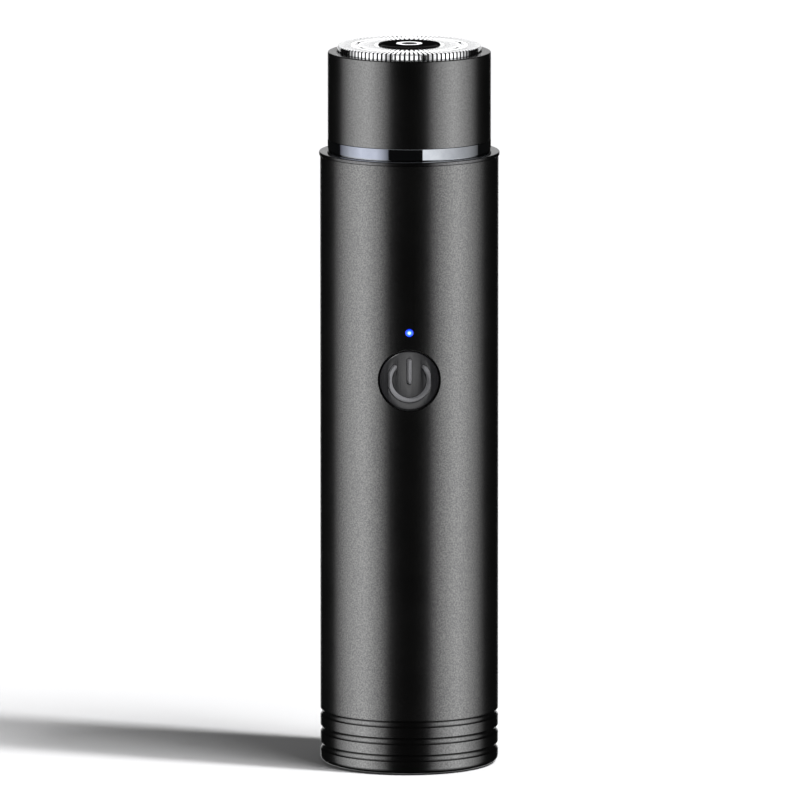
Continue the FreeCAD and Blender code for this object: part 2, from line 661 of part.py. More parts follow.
def chassis():
    """Inner frame: a back shell with ribs, a floor, a seat for the motor, and screw bosses."""
    bar = TUBE_BORE * 2
    boss_low = CHASSIS_TOP - CHASSIS_BOSS
    shell = ring(CHASSIS_RADIUS, CHASSIS_RADIUS - CHASSIS_WALL, CHASSIS_BOTTOM, CHASSIS_TOP)
    shell = shell.cut(block((-bar, bar), (-bar, -CHASSIS_FRONT), (0, CHASSIS_TOP + 1)))
    plates = [(CHASSIS_BOTTOM, CHASSIS_FLOOR), (SEAT_UNDER, MOTOR_BOTTOM),
              (CHASSIS_TOP - CHASSIS_RIB, CHASSIS_TOP)]
    plates += [(z, z + CHASSIS_RIB) for z in rib_heights()]
    solids = [shell] + [rod(CHASSIS_RADIUS, low, high) for low, high in plates]
    for x in (-CHASSIS_SCREW_X, CHASSIS_SCREW_X):
        boss = rod(BOSS_RADIUS, boss_low, CHASSIS_TOP, x, 0)
        solids.append(boss.common(rod(CHASSIS_RADIUS - 0.1, 0, TUBE_TOP)))
    for y in (-BASE_SCREW_Y, BASE_SCREW_Y):
        solids.append(rod(BOSS_RADIUS, base_boss_top(), CHASSIS_FLOOR, 0, y))
    for x in (-PORT_POST_X, PORT_POST_X):
        solids.append(port_post(x, PORT_BOARD_TOP, CHASSIS_FLOOR))
    frame = joined(solids)
    snap = (CELL_RADIUS + CELL_GAP) * CELL_SNAP
    openings = [
        rod(CELL_RADIUS + CELL_GAP, CHASSIS_FLOOR, SEAT_UNDER, 0, CELL_Y),
        block((-snap, snap), (-bar, CELL_Y), (CHASSIS_FLOOR, SEAT_UNDER)),
        rod(MOTOR_RADIUS + SEAT_GAP, MOTOR_BOTTOM, CHASSIS_TOP + 1),
        rod(SEAT_OPENING, SEAT_UNDER - 1, MOTOR_BOTTOM + 1),
        block((-TERMINAL_X - 1.3, TERMINAL_X + 1.3), (-0.7, 0.7), (SEAT_UNDER - 1, MOTOR_BOTTOM + 1)),
        block((-bar, bar), (-bar, -BOARD_BACK), (BOARD_BOTTOM - 0.5, CHASSIS_TOP + 1)),
        block((-bar, bar), (-bar, -CHASSIS_FRONT), (MOTOR_BOTTOM, CHASSIS_TOP + 1)),
        block((CABLE_X[0] - 0.2, CABLE_X[1] + 0.2), (-bar, -port_half_depth()),
              (CHASSIS_BOTTOM - 1, CHASSIS_FLOOR + 1))]
    window = CELL_RADIUS / 2
    stops = rib_heights() + [SEAT_UNDER]
    for low, high in zip(stops, stops[1:]):
        openings.append(block((-window, window), (0, bar), (low + CHASSIS_RIB + 1.5, high - 1.5)))
    for y in (-BASE_SCREW_Y, BASE_SCREW_Y):
        openings.append(rod(SCREW[0], 0, CHASSIS_BOTTOM - 0.3, 0, y))
    for x in (-CHASSIS_SCREW_X, CHASSIS_SCREW_X):
        openings.append(rod(SCREW[0] + SLIDE_GAP, boss_low - 1, CHASSIS_TOP + 1, x, 0))
        openings.append(rod(SCREW[1] + SLIDE_GAP, CHASSIS_BOTTOM - 1, boss_low, x, 0))
    for x, z in board_screw_places():
        openings.append(front_rod(SMALL_SCREW[0], BOARD_BACK + 1, BOARD_BACK - 2.4, x, z))
    for opening in openings:
        frame = frame.cut(opening)
    return tidied(frame)


def chassis_screws():
    """Two screws that clamp the chassis and the motor up to the neck."""
    return Part.makeCompound([pan_screw(SCREW, CHASSIS_TOP - CHASSIS_BOSS, MOUNT_TOP - 0.5, x, 0)
                              for x in (-CHASSIS_SCREW_X, CHASSIS_SCREW_X)])


def board_screw_places():
    """X and Z of the two screws that hold the main board on the chassis ribs."""
    low = CHASSIS_BOTTOM + CHASSIS_PLATE / 2
    high = SEAT_UNDER + MOTOR_SEAT / 2
    return [(BOARD_SCREW_X, low), (-BOARD_SCREW_X, high)]


def board_screws():
    """Two small screws that hold the main board."""
    shank, head, height = SMALL_SCREW
    screws = []
    for x, z in board_screw_places():
        body = joined([front_rod(shank, BOARD_FRONT, BOARD_BACK - 2.0, x, z),
                       front_rod(head, BOARD_FRONT + height, BOARD_FRONT, x, z)])
        depth = (-BOARD_FRONT - height, -BOARD_FRONT - height / 2)
        cross = [block((x - 0.8, x + 0.8), depth, (z - 0.15, z + 0.15)),
                 block((x - 0.15, x + 0.15), depth, (z - 0.8, z + 0.8))]
        screws.append(body.cut(cross[0]).cut(cross[1]))
    return Part.makeCompound(screws)


def circuit_board():
    """The main board, flat against the chassis ribs."""
    board = block((-BOARD_HALF, BOARD_HALF), (-BOARD_FRONT, -BOARD_BACK), (BOARD_BOTTOM, BOARD_TOP))
    for x, z in board_screw_places():
        board = board.cut(front_rod(SMALL_SCREW[0] + SLIDE_GAP, HANDLE_RADIUS, 1, x, z))
    return board


def on_board(x, z, width, height, rise):
    """A component's body on the front of the main board."""
    depth = (-BOARD_FRONT - rise, -BOARD_FRONT)
    return block((x - width / 2, x + width / 2), depth, (z - height / 2, z + height / 2))


def board_chips():
    """Charger, controller and motor switch chips."""
    return Part.makeCompound([
        on_board(1.5, CHASSIS_FLOOR + 9.5, 3.9, 4.9, 1.2),
        on_board(-0.8, CHASSIS_FLOOR + 32.5, 4.4, 5.0, 1.1),
        on_board(3.6, CHASSIS_FLOOR + 41.0, 2.0, 3.0, 1.0)])


def board_inductor():
    """The charger's power inductor."""
    body = on_board(-2.2, CHASSIS_FLOOR + 16.0, 4.2, 4.2, 1.8)
    return body.cut(front_rod(1.2, HANDLE_RADIUS, BOARD_FRONT + 1.5, -2.2, CHASSIS_FLOOR + 16.0))


def board_capacitors():
    """Small ceramic capacitors and resistors on the main board."""
    places = [(3.4, 15.0), (3.4, 17.0), (-4.6, 9.0), (4.4, 30.0),
              (4.4, 32.0), (4.4, 34.0), (-4.8, 36.0), (-4.8, 38.0)]
    return Part.makeCompound([on_board(x, CHASSIS_FLOOR + z, 1.6, 0.8, 0.8) for x, z in places])


def battery_cell():
    """The rechargeable cell: a can with a crimped groove and a raised contact."""
    shoulder = CELL_SHOULDER
    cell = turned([
        (0, CELL_BOTTOM), (CELL_RADIUS - 0.3, CELL_BOTTOM), (CELL_RADIUS, CELL_BOTTOM + 0.3),
        (CELL_RADIUS, CELL_TOP - 4), (CELL_RADIUS - 0.5, CELL_TOP - 3.6), (CELL_RADIUS, CELL_TOP - 3.2),
        (CELL_RADIUS, CELL_TOP - shoulder - 0.3), (CELL_RADIUS - 0.3, CELL_TOP - shoulder),
        (CELL_RADIUS * 0.42, CELL_TOP - shoulder), (CELL_RADIUS * 0.42, CELL_TOP), (0, CELL_TOP)])
    cell.translate(V(0, CELL_Y, 0))
    return cell


def battery_tabs():
    """Nickel strips from the cell's ends to the board."""
    half = TAB_WIDTH / 2
    end = -BOARD_BACK
    low = joined([block((-half, half), (end, CELL_Y + 2.5), (CELL_BOTTOM - TAB_THICK, CELL_BOTTOM)),
                  block((-half, half), (end, end + TAB_THICK), (CELL_BOTTOM - TAB_THICK, CELL_BOTTOM + 1.6))])
    high = joined([block((-half, half), (end, CELL_Y + 2.5), (CELL_TOP, CELL_TOP + TAB_THICK)),
                   block((-half, half), (end, end + TAB_THICK), (CELL_TOP - 1.8, CELL_TOP + TAB_THICK))])
    return Part.makeCompound([low, high])


def battery_pad():
    """Foam pad that keeps the cell from rattling against the motor's seat."""
    low = CELL_TOP - CELL_SHOULDER
    pad = ring(CELL_RADIUS - 0.4, CELL_RADIUS / 2, low, SEAT_UNDER, 0, CELL_Y)
    return pad.cut(block((-TUBE_BORE, TUBE_BORE), (-TUBE_BORE, CELL_Y + 2.6), (low - 1, SEAT_UNDER + 1)))


def port_board():
    """The small board that carries the charging socket."""
    half = POCKET_WIDTH / 2
    side = port_half_depth()
    return block((-half, half), (-side, side), (SOCKET_TOP, PORT_BOARD_TOP))


def port_half_depth():
    """Half the depth of the socket's board, which fits between the screw bosses."""
    return BASE_SCREW_Y - BOSS_RADIUS - LOOSE_GAP


def usb_shell():
    """The charging socket's steel shell, open downwards."""
    outer = rounded_slot(SOCKET_WIDTH, SOCKET_DEPTH, SOCKET_BOTTOM, SOCKET_TOP)
    inner = rounded_slot(SOCKET_WIDTH - 2 * SOCKET_SKIN, SOCKET_DEPTH - 2 * SOCKET_SKIN,
                         SOCKET_BOTTOM - 1, SOCKET_TOP - SOCKET_SKIN)
    return outer.cut(inner)


def usb_tongue():
    """The insulator inside the socket: a thick root and a thin tongue."""
    root_top = SOCKET_TOP - SOCKET_SKIN
    inner_width = SOCKET_WIDTH - 2 * SOCKET_SKIN
    inner_depth = SOCKET_DEPTH - 2 * SOCKET_SKIN
    root = rounded_slot(inner_width, inner_depth, root_top - 1.6, root_top)
    tongue = block((-3.35, 3.35), (-0.35, 0.35), (SOCKET_BOTTOM + 0.7, root_top - 1.6))
    return joined([root, tongue])


def usb_contacts():
    """Gold contacts on both faces of the tongue."""
    pitch = 6.0 / CONTACT_COUNT
    root = SOCKET_TOP - SOCKET_SKIN - 1.6
    contacts = []
    for i in range(CONTACT_COUNT):
        x = (i - (CONTACT_COUNT - 1) / 2.0) * pitch
        for low, high in ((-0.4, -0.35), (0.35, 0.4)):
            contacts.append(block((x - 0.13, x + 0.13), (low, high), (SOCKET_BOTTOM + 1.2, root)))
    return Part.makeCompound(contacts)


def port_cable():
    """Flat cable from the socket's board, through the chassis floor, to the main board."""
    near = -port_half_depth()
    far = -BOARD_BACK + CABLE_THICK
    top = CHASSIS_FLOOR + 3.0
    low = PORT_BOARD_TOP + 0.6
    outline = [
        (near + CABLE_THICK, PORT_BOARD_TOP), (near + CABLE_THICK, low + 0.1), (far, CHASSIS_BOTTOM), (far, top),
        (far - CABLE_THICK, top), (far - CABLE_THICK, CHASSIS_BOTTOM - 0.1), (near, low), (near, PORT_BOARD_TOP)]
    points = [V(CABLE_X[0], y, z) for y, z in outline]
    return Part.Face(Part.makePolygon(points + points[:1])).extrude(V(CABLE_X[1] - CABLE_X[0], 0, 0))


def motor_lead(side):
    """Wire from a motor terminal to the back of the main board."""
    z = SEAT_UNDER - 0.7
    near = side * TERMINAL_X
    far = side * (TERMINAL_X - 1.2)
    points = [(near, -0.2, z), (near, -BOARD_BACK * 0.4, z), (far, -BOARD_BACK * 0.7, z), (far, -BOARD_BACK, z)]
    return lead(points, 0.4)


# ---------------------------------------------------------------- handle: motor, fixed parts

def motor_can():
    """The motor's steel can, with its bearing boss."""
    inner = MOTOR_RADIUS - MOTOR_WALL
    can = turned([
        (inner, BELL_TOP), (MOTOR_RADIUS, BELL_TOP), (MOTOR_RADIUS, MOTOR_TOP), (MOTOR_BOSS, MOTOR_TOP),
        (MOTOR_BOSS, MOTOR_TOP + MOTOR_BOSS_RISE), (bush_radius(), MOTOR_TOP + MOTOR_BOSS_RISE),
        (bush_radius(), MOTOR_TOP - 1), (inner, MOTOR_TOP - 1)])
    for y in (-MOUNT_SCREW_OFFSET, MOUNT_SCREW_OFFSET):
        can = can.cut(rod(SCREW[0], MOTOR_TOP - 2, MOTOR_TOP + 1, 0, y))
    return can


def bush_radius():
    """Outer radius of the motor's bearing bushes."""
    return SHAFT_RADIUS * 2


def motor_end_bell():
    """The plastic end that closes the motor and holds its brushes."""
    bell = turned([
        (bush_radius(), MOTOR_BOTTOM - 1), (MOTOR_BOSS, MOTOR_BOTTOM - 1), (MOTOR_BOSS, MOTOR_BOTTOM),
        (MOTOR_RADIUS, MOTOR_BOTTOM), (MOTOR_RADIUS, BELL_TOP), (MOTOR_RADIUS - 2, BELL_TOP),
        (MOTOR_RADIUS - 2, MOTOR_BOTTOM + 1.2), (bush_radius(), MOTOR_BOTTOM + 1.2)])
    for side in (-1, 1):
        bell = bell.cut(block(*terminal_span(side), (MOTOR_BOTTOM - 1, BELL_TOP)))
    return bell


def motor_bushes():
    """The two sintered bushes that the shaft runs in."""
    bore = SHAFT_RADIUS + 0.03
    return Part.makeCompound([ring(bush_radius(), bore, MOTOR_TOP - 1, MOTOR_TOP + MOTOR_BOSS_RISE),
                              ring(bush_radius(), bore, MOTOR_BOTTOM - 1, MOTOR_BOTTOM + 1.2)])


def motor_magnets():
    """Two curved magnets inside the can."""
    outer = MOTOR_RADIUS - MOTOR_WALL
    inner = outer - MAGNET_THICK
    shells = [sector(outer, inner, BELL_TOP + 3.4, MOTOR_TOP - 3, middle, 128) for middle in (90, 270)]
    return Part.makeCompound(shells)


def motor_terminals():
    """Two solder terminals through the end bell."""
    return Part.makeCompound([block(*terminal_span(side), (SEAT_UNDER - 1.2, MOTOR_BOTTOM + 1.2))
                              for side in (-1, 1)])


def terminal_span(side):
    """The X and Y extents of one terminal."""
    return (side * TERMINAL_X - 1.0, side * TERMINAL_X + 1.0), (-0.2, 0.2)


def motor_brushes():
    """Two brushes on leaf springs that stand on the terminals' inner ends."""
    brushes = []
    for side in (-1, 1):
        near, far = commutator_radius() + RUN_GAP, 4.4
        width = tuple(sorted((side * 3.9, side * far)))
        arm = block(width, (-0.5, 0.5), (MOTOR_BOTTOM + 1.2, BELL_TOP + 2.0))
        shoe = block(tuple(sorted((side * near, side * 3.95))), (-0.6, 0.6), (BELL_TOP + 0.6, BELL_TOP + 2.0))
        brushes.append(joined([arm, shoe]))
    return Part.makeCompound(brushes)


def motor_mount():
    """The plate between the motor and the neck."""
    radius = NECK_RADIUS - NECK_SKIRT_WALL - SLIDE_GAP
    plate = ring(radius, MOTOR_BOSS + SLIDE_GAP, MOTOR_TOP, MOUNT_TOP)
    for x in (-CHASSIS_SCREW_X, CHASSIS_SCREW_X):
        plate = plate.cut(rod(BOSS_RADIUS + SLIDE_GAP, MOTOR_TOP - 1, MOUNT_TOP + 1, x, 0))
    for y in (-MOUNT_SCREW_OFFSET, MOUNT_SCREW_OFFSET):
        plate = plate.cut(rod(SCREW[0] + SLIDE_GAP, MOTOR_TOP - 1, MOUNT_TOP + 1, 0, y))
    return plate


def motor_screws():
    """Two screws that hold the motor to its mount."""
    return Part.makeCompound([pan_screw(SCREW, MOUNT_TOP, MOTOR_TOP - 0.9, 0, y, up=False)
                              for y in (-MOUNT_SCREW_OFFSET, MOUNT_SCREW_OFFSET)])


# ---------------------------------------------------------------- rotor

def commutator_radius():
    """Radius of the commutator that the brushes touch."""
    return SHAFT_RADIUS * 2.3


def armature_radius():
    """Radius of the armature, inside the magnets."""
    return MOTOR_RADIUS - MOTOR_WALL - MAGNET_THICK - AIR_GAP


def armature_span():
    """Lowest and highest point of the armature's laminations."""
    return BELL_TOP + 4.0, MOTOR_TOP - 4.0


def motor_shaft():
    """The motor's shaft, from the rear bush up into the drive hub."""
    return rod(SHAFT_RADIUS, MOTOR_BOTTOM - 1.2, HUB_TOP - 2.1)


def motor_armature():
    """Three-pole laminated armature on the shaft."""
    low, high = armature_span()
    radius = armature_radius()
    poles = []
    for i in range(3):
        middle = 90 + 120 * i
        poles.append(sector(radius, radius - 1.0, low, high, middle, 96))
        neck = block((SHAFT_RADIUS + 0.5, radius - 0.5), (-0.9, 0.9), (low, high))
        neck.rotate(V(0, 0, 0), V(0, 0, 1), middle)
        poles.append(neck)
    return joined([rod(SHAFT_RADIUS + 1.2, low, high)] + poles).cut(rod(SHAFT_RADIUS, low - 1, high + 1))


def motor_windings():
    """Copper coils, one wound round each of the armature's three poles."""
    low, high = armature_span()
    outer = armature_radius() - 1.0 - SLIDE_GAP
    inner = SHAFT_RADIUS + 1.2 + SLIDE_GAP
    coil = block((inner, outer), (-2.1, 2.1), (low - 1.2, high + 1.2)).common(rod(outer, low - 2, high + 2))
    coil = coil.cut(block((0, outer + 1), (-0.9, 0.9), (low, high)))
    return Part.makeCompound(around(coil, 3, 90.0))


def motor_commutator():
    """Copper commutator below the armature."""
    return ring(commutator_radius(), SHAFT_RADIUS, BELL_TOP + 0.4, BELL_TOP + 2.4)


def drive_hub():
    """Plastic hub pressed on the shaft: flats to turn the spindle, and a pin inside the spring."""
    hub = rod(HUB_RADIUS, HUB_BOTTOM, HUB_TOP)
    for side in (-1, 1):
        width = tuple(sorted((side * HUB_FLAT, side * 4)))
        flat = block(width, (-4, 4), (SPINDLE_BOTTOM - NET_TRAVEL - 0.4, HUB_TOP + 1))
        hub = hub.cut(flat)
    pin = rod(SPRING_RADIUS - SPRING_WIRE - SLIDE_GAP, HUB_TOP - 0.2, HUB_TOP + 1.3)
    return joined([hub, pin]).cut(rod(SHAFT_RADIUS, HUB_BOTTOM - 1, HUB_TOP - 2.1))


def spindle_spring():
    """Coil spring that pushes the spindle, the cutter and the net up."""
    low = HUB_TOP + SPRING_WIRE + 0.02
    height = SPINDLE_BORE_TOP - SPRING_WIRE - 0.02 - low
    helix = Part.makeHelix(height / SPRING_TURNS, height, SPRING_RADIUS)
    helix.translate(V(0, 0, low))
    start = V(SPRING_RADIUS, 0, low)
    section = Part.Wire(Part.makeCircle(SPRING_WIRE, start, V(0, 1, 0)))
    return Part.Wire(helix).makePipeShell([section], True, True)


# ---------------------------------------------------------------- spindle

def drive_spindle():
    """Sleeve that slides on the hub and carries the key for the cutter."""
    body = turned([
        (0, SPINDLE_BOTTOM), (SPINDLE_RADIUS, SPINDLE_BOTTOM), (SPINDLE_RADIUS, SPINDLE_TOP - 0.6),
        (SPINDLE_RADIUS - 0.6, SPINDLE_TOP), (0, SPINDLE_TOP)])
    body = body.cut(rod(SPINDLE_BORE, HUB_TOP + 1.0, SPINDLE_BORE_TOP))
    side = HUB_FLAT + SLIDE_GAP
    socket = rod(SPINDLE_BORE, SPINDLE_BOTTOM - 1, HUB_TOP + 1.1)
    socket = socket.common(block((-side, side), (-4, 4), (SPINDLE_BOTTOM - 1, HUB_TOP + 1.1)))
    key = rounded_slot(KEY_LENGTH, KEY_WIDTH, SPINDLE_TOP - 0.1, KEY_TOP)
    return joined([body.cut(socket), key])


# ---------------------------------------------------------------- cutting head

def head_housing():
    """The removable head's barrel, with a lip over the net and lugs under the retainer."""
    barrel = turned([
        (HEAD_BORE, HEAD_BOTTOM), (HEAD_RADIUS, HEAD_BOTTOM), (HEAD_RADIUS, HEAD_TOP), (LIP_BORE, HEAD_TOP),
        (LIP_BORE, LIP_UNDER), (HEAD_BORE, LIP_UNDER)])
    edges = [e for e in barrel.Edges if abs(e.BoundBox.ZMin - HEAD_TOP) < 1e-6
             and e.BoundBox.ZMax - e.BoundBox.ZMin < 1e-6 and e.BoundBox.XMax > HEAD_RADIUS - 1e-6]
    barrel = barrel.makeFillet(HEAD_EDGE_ROUND, edges)
    lug_inner = RETAINER_RADIUS + PRESS_GAP
    lugs = [sector(HEAD_BORE + 0.2, lug_inner, LUG_TOP - LUG_HEIGHT, LUG_TOP, 90 + 120 * i, LUG_ANGLE)
            for i in range(3)]
    return joined([barrel] + lugs)


def cutter_retainer():
    """Spider ring under the cutter. Its tabs sit on the housing's lugs until it is turned."""
    wall = ring(RETAINER_RADIUS, RETAINER_BORE, RETAINER_UNDER, RETAINER_TOP)
    hub_bore = SPINDLE_RADIUS + LOOSE_GAP
    hub = ring(hub_bore + 1.3, hub_bore, RETAINER_UNDER, RETAINER_FLOOR_TOP)
    arms = []
    for i in range(3):
        arm = block((hub_bore + 0.6, RETAINER_BORE + 0.3), (-RETAINER_ARM / 2, RETAINER_ARM / 2),
                    (RETAINER_UNDER, RETAINER_FLOOR_TOP))
        arm.rotate(V(0, 0, 0), V(0, 0, 1), 90 + 120 * i)
        arms.append(arm)
    tab_top = RETAINER_UNDER + 1.0
    tabs = [sector(HEAD_BORE - SLIDE_GAP, RETAINER_RADIUS - 0.2, RETAINER_UNDER, tab_top, 90 + 120 * i, TAB_ANGLE)
            for i in range(3)]
    return joined([wall, hub] + arms + tabs)


def shaving_net():
    """The steel net: two slotted tracks, a skirt, and a flange that the housing's lip holds."""
    skirt = NET_RADIUS - NET_WALL
    valley = NET_TOP - VALLEY_DEPTH
    centre = NET_TOP - BADGE_SINK
    seat = BADGE_RADIUS + PRESS_GAP
    net = turned([
        (BADGE_STEM, centre), (seat, centre), (seat, NET_TOP - 0.05), (seat + 0.05, NET_TOP),
        (INNER_TRACK, NET_TOP), (INNER_TRACK + 0.15, valley),
        (OUTER_TRACK - 0.15, valley), (OUTER_TRACK, NET_TOP),
        (NET_RADIUS - NET_EDGE, NET_TOP), (NET_RADIUS, NET_TOP - NET_EDGE), (NET_RADIUS, FLANGE_TOP),
        (FLANGE_RADIUS, FLANGE_TOP), (FLANGE_RADIUS, FLANGE_BOTTOM), (skirt, FLANGE_BOTTOM),
        (skirt, NET_UNDER), (OUTER_TRACK + 0.1, NET_UNDER), (OUTER_TRACK - 0.1, valley - NET_SKIN),
        (INNER_TRACK + 0.1, valley - NET_SKIN), (INNER_TRACK - 0.1, NET_UNDER), (TRACK_END + 0.1, NET_UNDER),
        (TRACK_END - 0.1, centre - NET_SKIN), (BADGE_STEM, centre - NET_SKIN)])
    half = SLOT_WIDTH / 2
    outer = block((OUTER_TRACK + 0.45, NET_RADIUS + 1), (-half, half), (HEAD_TOP - 0.1, NET_TOP + 1))
    inner = block((TRACK_END + 0.35, INNER_TRACK - 0.35), (-half, half), (centre - 1, NET_TOP + 1))
    slots = around(outer, OUTER_SLOTS) + around(inner, INNER_SLOTS)
    return net.cut(Part.makeCompound(slots))


def net_badge():
    """The glossy disc pressed into the middle of the net."""
    top = NET_TOP + BADGE_PROUD
    base = NET_TOP - BADGE_SINK
    badge = turned([
        (0, base - 1.0), (BADGE_STEM, base - 1.0), (BADGE_STEM, base), (BADGE_RADIUS, base),
        (BADGE_RADIUS, top - 0.25), (BADGE_RADIUS - 0.25, top), (emblem_outer(), top),
        (emblem_outer(), top - 0.12), (emblem_inner(), top - 0.12), (emblem_inner(), top), (0, top)])
    return badge


def emblem_outer():
    """Outer radius of the badge's plain ring."""
    return BADGE_RADIUS * 0.42


def emblem_inner():
    """Inner radius of the badge's plain ring."""
    return BADGE_RADIUS * 0.26


def badge_emblem():
    """A plain bright ring set into the badge."""
    top = NET_TOP + BADGE_PROUD
    return ring(emblem_outer(), emblem_inner(), top - 0.12, top)


def cutter_blades():
    """The steel blade disc: raked blades in two circles on one ring."""
    tracks = [(OUTER_TRACK + 0.25, CUTTER_RADIUS), (TRACK_END + 0.25, INNER_TRACK - 0.25)]
    base = ring(CUTTER_RADIUS, TRACK_END, CARRIER_TOP, BLADE_FOOT)
    keep = rod(CUTTER_RADIUS + 1, BLADE_FOOT - 0.1, BLADE_TOP)
    blades = []
    for low, high in tracks:
        blade = block((low, high), (-BLADE_THICK / 2, BLADE_THICK / 2), (BLADE_FOOT - 0.5, BLADE_TOP + 0.5))
        blade.rotate(V(0, 0, BLADE_FOOT), V(1, 0, 0), BLADE_RAKE)
        blades += around(blade.common(keep), BLADE_COUNT)
    return joined([base] + blades)


def cutter_carrier():
    """The plastic carrier under the blades, with a socket for the spindle's key."""
    disc = rod(CUTTER_RADIUS - 0.5, CARRIER_UNDER, CARRIER_TOP)
    hub = rod(CARRIER_HUB, HUB_UNDER, CARRIER_UNDER + 0.1)
    windows = [sector(CUTTER_RADIUS - 1.8, CARRIER_HUB + 1.2, CARRIER_UNDER - 1, CARRIER_TOP + 1, 60 * i, 38)
               for i in range(6)]
    carrier = joined([disc, hub])
    for window in windows:
        carrier = carrier.cut(window)
    socket = rounded_slot(KEY_LENGTH + 2 * SLIDE_GAP, KEY_WIDTH + 2 * SLIDE_GAP, HUB_UNDER - 1,
                          CARRIER_UNDER + SOCKET_RISE)
    return carrier.cut(socket)


# ---------------------------------------------------------------- export

NODES = {
    "body_tube": body_tube, "base_cap": base_cap, "foot_ring": foot_ring, "collar_ring": collar_ring,
    "neck_housing": neck_housing, "head_seal": head_seal, "neck_seal": neck_seal, "base_seal": base_seal,
    "shaft_seal": shaft_seal, "chassis": chassis, "motor_mount": motor_mount, "motor_screws": motor_screws,
    "chassis_screws": chassis_screws, "base_screws": base_screws, "motor_can": motor_can,
    "motor_end_bell": motor_end_bell, "motor_magnets": motor_magnets, "motor_bushes": motor_bushes,
    "motor_brushes": motor_brushes, "motor_terminals": motor_terminals, "battery_cell": battery_cell,
    "battery_tabs": battery_tabs, "battery_pad": battery_pad, "circuit_board": circuit_board,
    "board_screws": board_screws, "board_chips": board_chips, "board_inductor": board_inductor,
    "board_capacitors": board_capacitors, "tact_switch": tact_switch, "status_led": status_led,
    "led_lens": led_lens, "button_gasket": button_gasket, "port_board": port_board, "usb_shell": usb_shell,
    "usb_tongue": usb_tongue, "usb_contacts": usb_contacts, "port_cable": port_cable,
    "motor_lead_red": lambda: motor_lead(1), "motor_lead_black": lambda: motor_lead(-1),
    "power_button": power_button, "power_symbol": power_symbol, "switch_plunger": switch_plunger,
    "motor_shaft": motor_shaft, "motor_armature": motor_armature, "motor_windings": motor_windings,
    "motor_commutator": motor_commutator, "drive_hub": drive_hub, "spindle_spring": spindle_spring,
    "drive_spindle": drive_spindle, "head_housing": head_housing, "cutter_retainer": cutter_retainer,
    "shaving_net": shaving_net, "net_badge": net_badge, "badge_emblem": badge_emblem,
    "cutter_blades": cutter_blades, "cutter_carrier": cutter_carrier,
}


def main():
    """Builds every node and writes one STEP for each."""
    os.makedirs("parts", exist_ok=True)
    for name, make in NODES.items():
        shape = make()
        if not sound(shape):
            raise ValueError(name + " is not made of closed valid solids")
        shape.exportStep("parts/" + name + ".step")
        print(name, len(shape.Solids), "solid(s)", round(shape.Volume, 2), "mm3")


main()
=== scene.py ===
# %% [markdown]
# # A pocket rotary shaver
# The frame is the engineer's model: every piece is already in its place, in metres. Here it gets its
# finish. The shapes that the eye follows, which are the long tube, the grooved base, the polished neck and
# the head, are modelled again with finer curves and softened edges. The rest keeps its engineer's shape
# and gets a material.

# %% Load the frame
import bpy
import json
import math
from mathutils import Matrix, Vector


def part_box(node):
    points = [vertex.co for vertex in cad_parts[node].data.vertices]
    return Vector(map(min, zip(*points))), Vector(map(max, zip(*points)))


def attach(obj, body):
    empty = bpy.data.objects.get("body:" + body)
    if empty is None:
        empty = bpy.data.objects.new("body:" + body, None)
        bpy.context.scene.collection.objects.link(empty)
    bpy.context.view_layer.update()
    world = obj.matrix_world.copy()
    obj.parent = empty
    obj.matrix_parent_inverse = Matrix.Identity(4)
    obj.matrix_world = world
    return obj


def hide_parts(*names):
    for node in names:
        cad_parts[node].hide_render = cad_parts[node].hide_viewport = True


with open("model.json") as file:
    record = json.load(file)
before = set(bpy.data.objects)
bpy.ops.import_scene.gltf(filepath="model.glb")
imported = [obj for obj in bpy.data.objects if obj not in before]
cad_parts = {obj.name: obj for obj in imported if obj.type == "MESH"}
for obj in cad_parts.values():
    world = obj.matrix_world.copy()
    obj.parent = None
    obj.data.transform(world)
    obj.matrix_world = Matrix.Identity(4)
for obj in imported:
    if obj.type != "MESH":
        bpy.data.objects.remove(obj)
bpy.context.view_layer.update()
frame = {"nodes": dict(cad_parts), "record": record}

MM = 0.001

# %% [markdown]
# Sizes that a node's box can give are read from the frame and not typed twice. The box gives the lowest and
# the highest corner, so the tube's radius is its highest x, and each height is where a neighbour starts or
# stops. The tube's bore is as wide as the head, which lets the neck run through both.

# %% Read the sizes
def low(node):
    """Lowest corner of a node's box."""
    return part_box(node)[0]


def high(node):
    """Highest corner of a node's box."""
    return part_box(node)[1]


TUBE_R = high("body_tube")[0]
TUBE_LOW = low("body_tube")[2]
TUBE_HIGH = high("body_tube")[2]
COLLAR_R = high("collar_ring")[0]
COLLAR_HIGH = high("collar_ring")[2]
NECK_R = high("neck_housing")[0]
HEAD_R = high("head_housing")[0]
HEAD_LOW = low("head_housing")[2]
HEAD_HIGH = high("head_housing")[2]
BAND_HIGH = HEAD_LOW - 0.05 * MM
BORE_R = HEAD_R
NET_HIGH = high("shaving_net")[2]

# %% [markdown]
# ## Turning a shape
# Most of the shaver was turned or drawn, so it is round about one axis. A ring of points is added, then
# extruded and resized from step to step along the outline, as one would by hand. That leaves clean loops
# that a bevel can soften. A spin would do as well, but extruding keeps each loop at a known height.

# %% A helper that turns an outline
TINY = 1e-9


def deselect():
    """Leave nothing selected, in object mode."""
    if bpy.context.object and bpy.context.object.mode != "OBJECT":
        bpy.ops.object.mode_set(mode="OBJECT")
    bpy.ops.object.select_all(action="DESELECT")


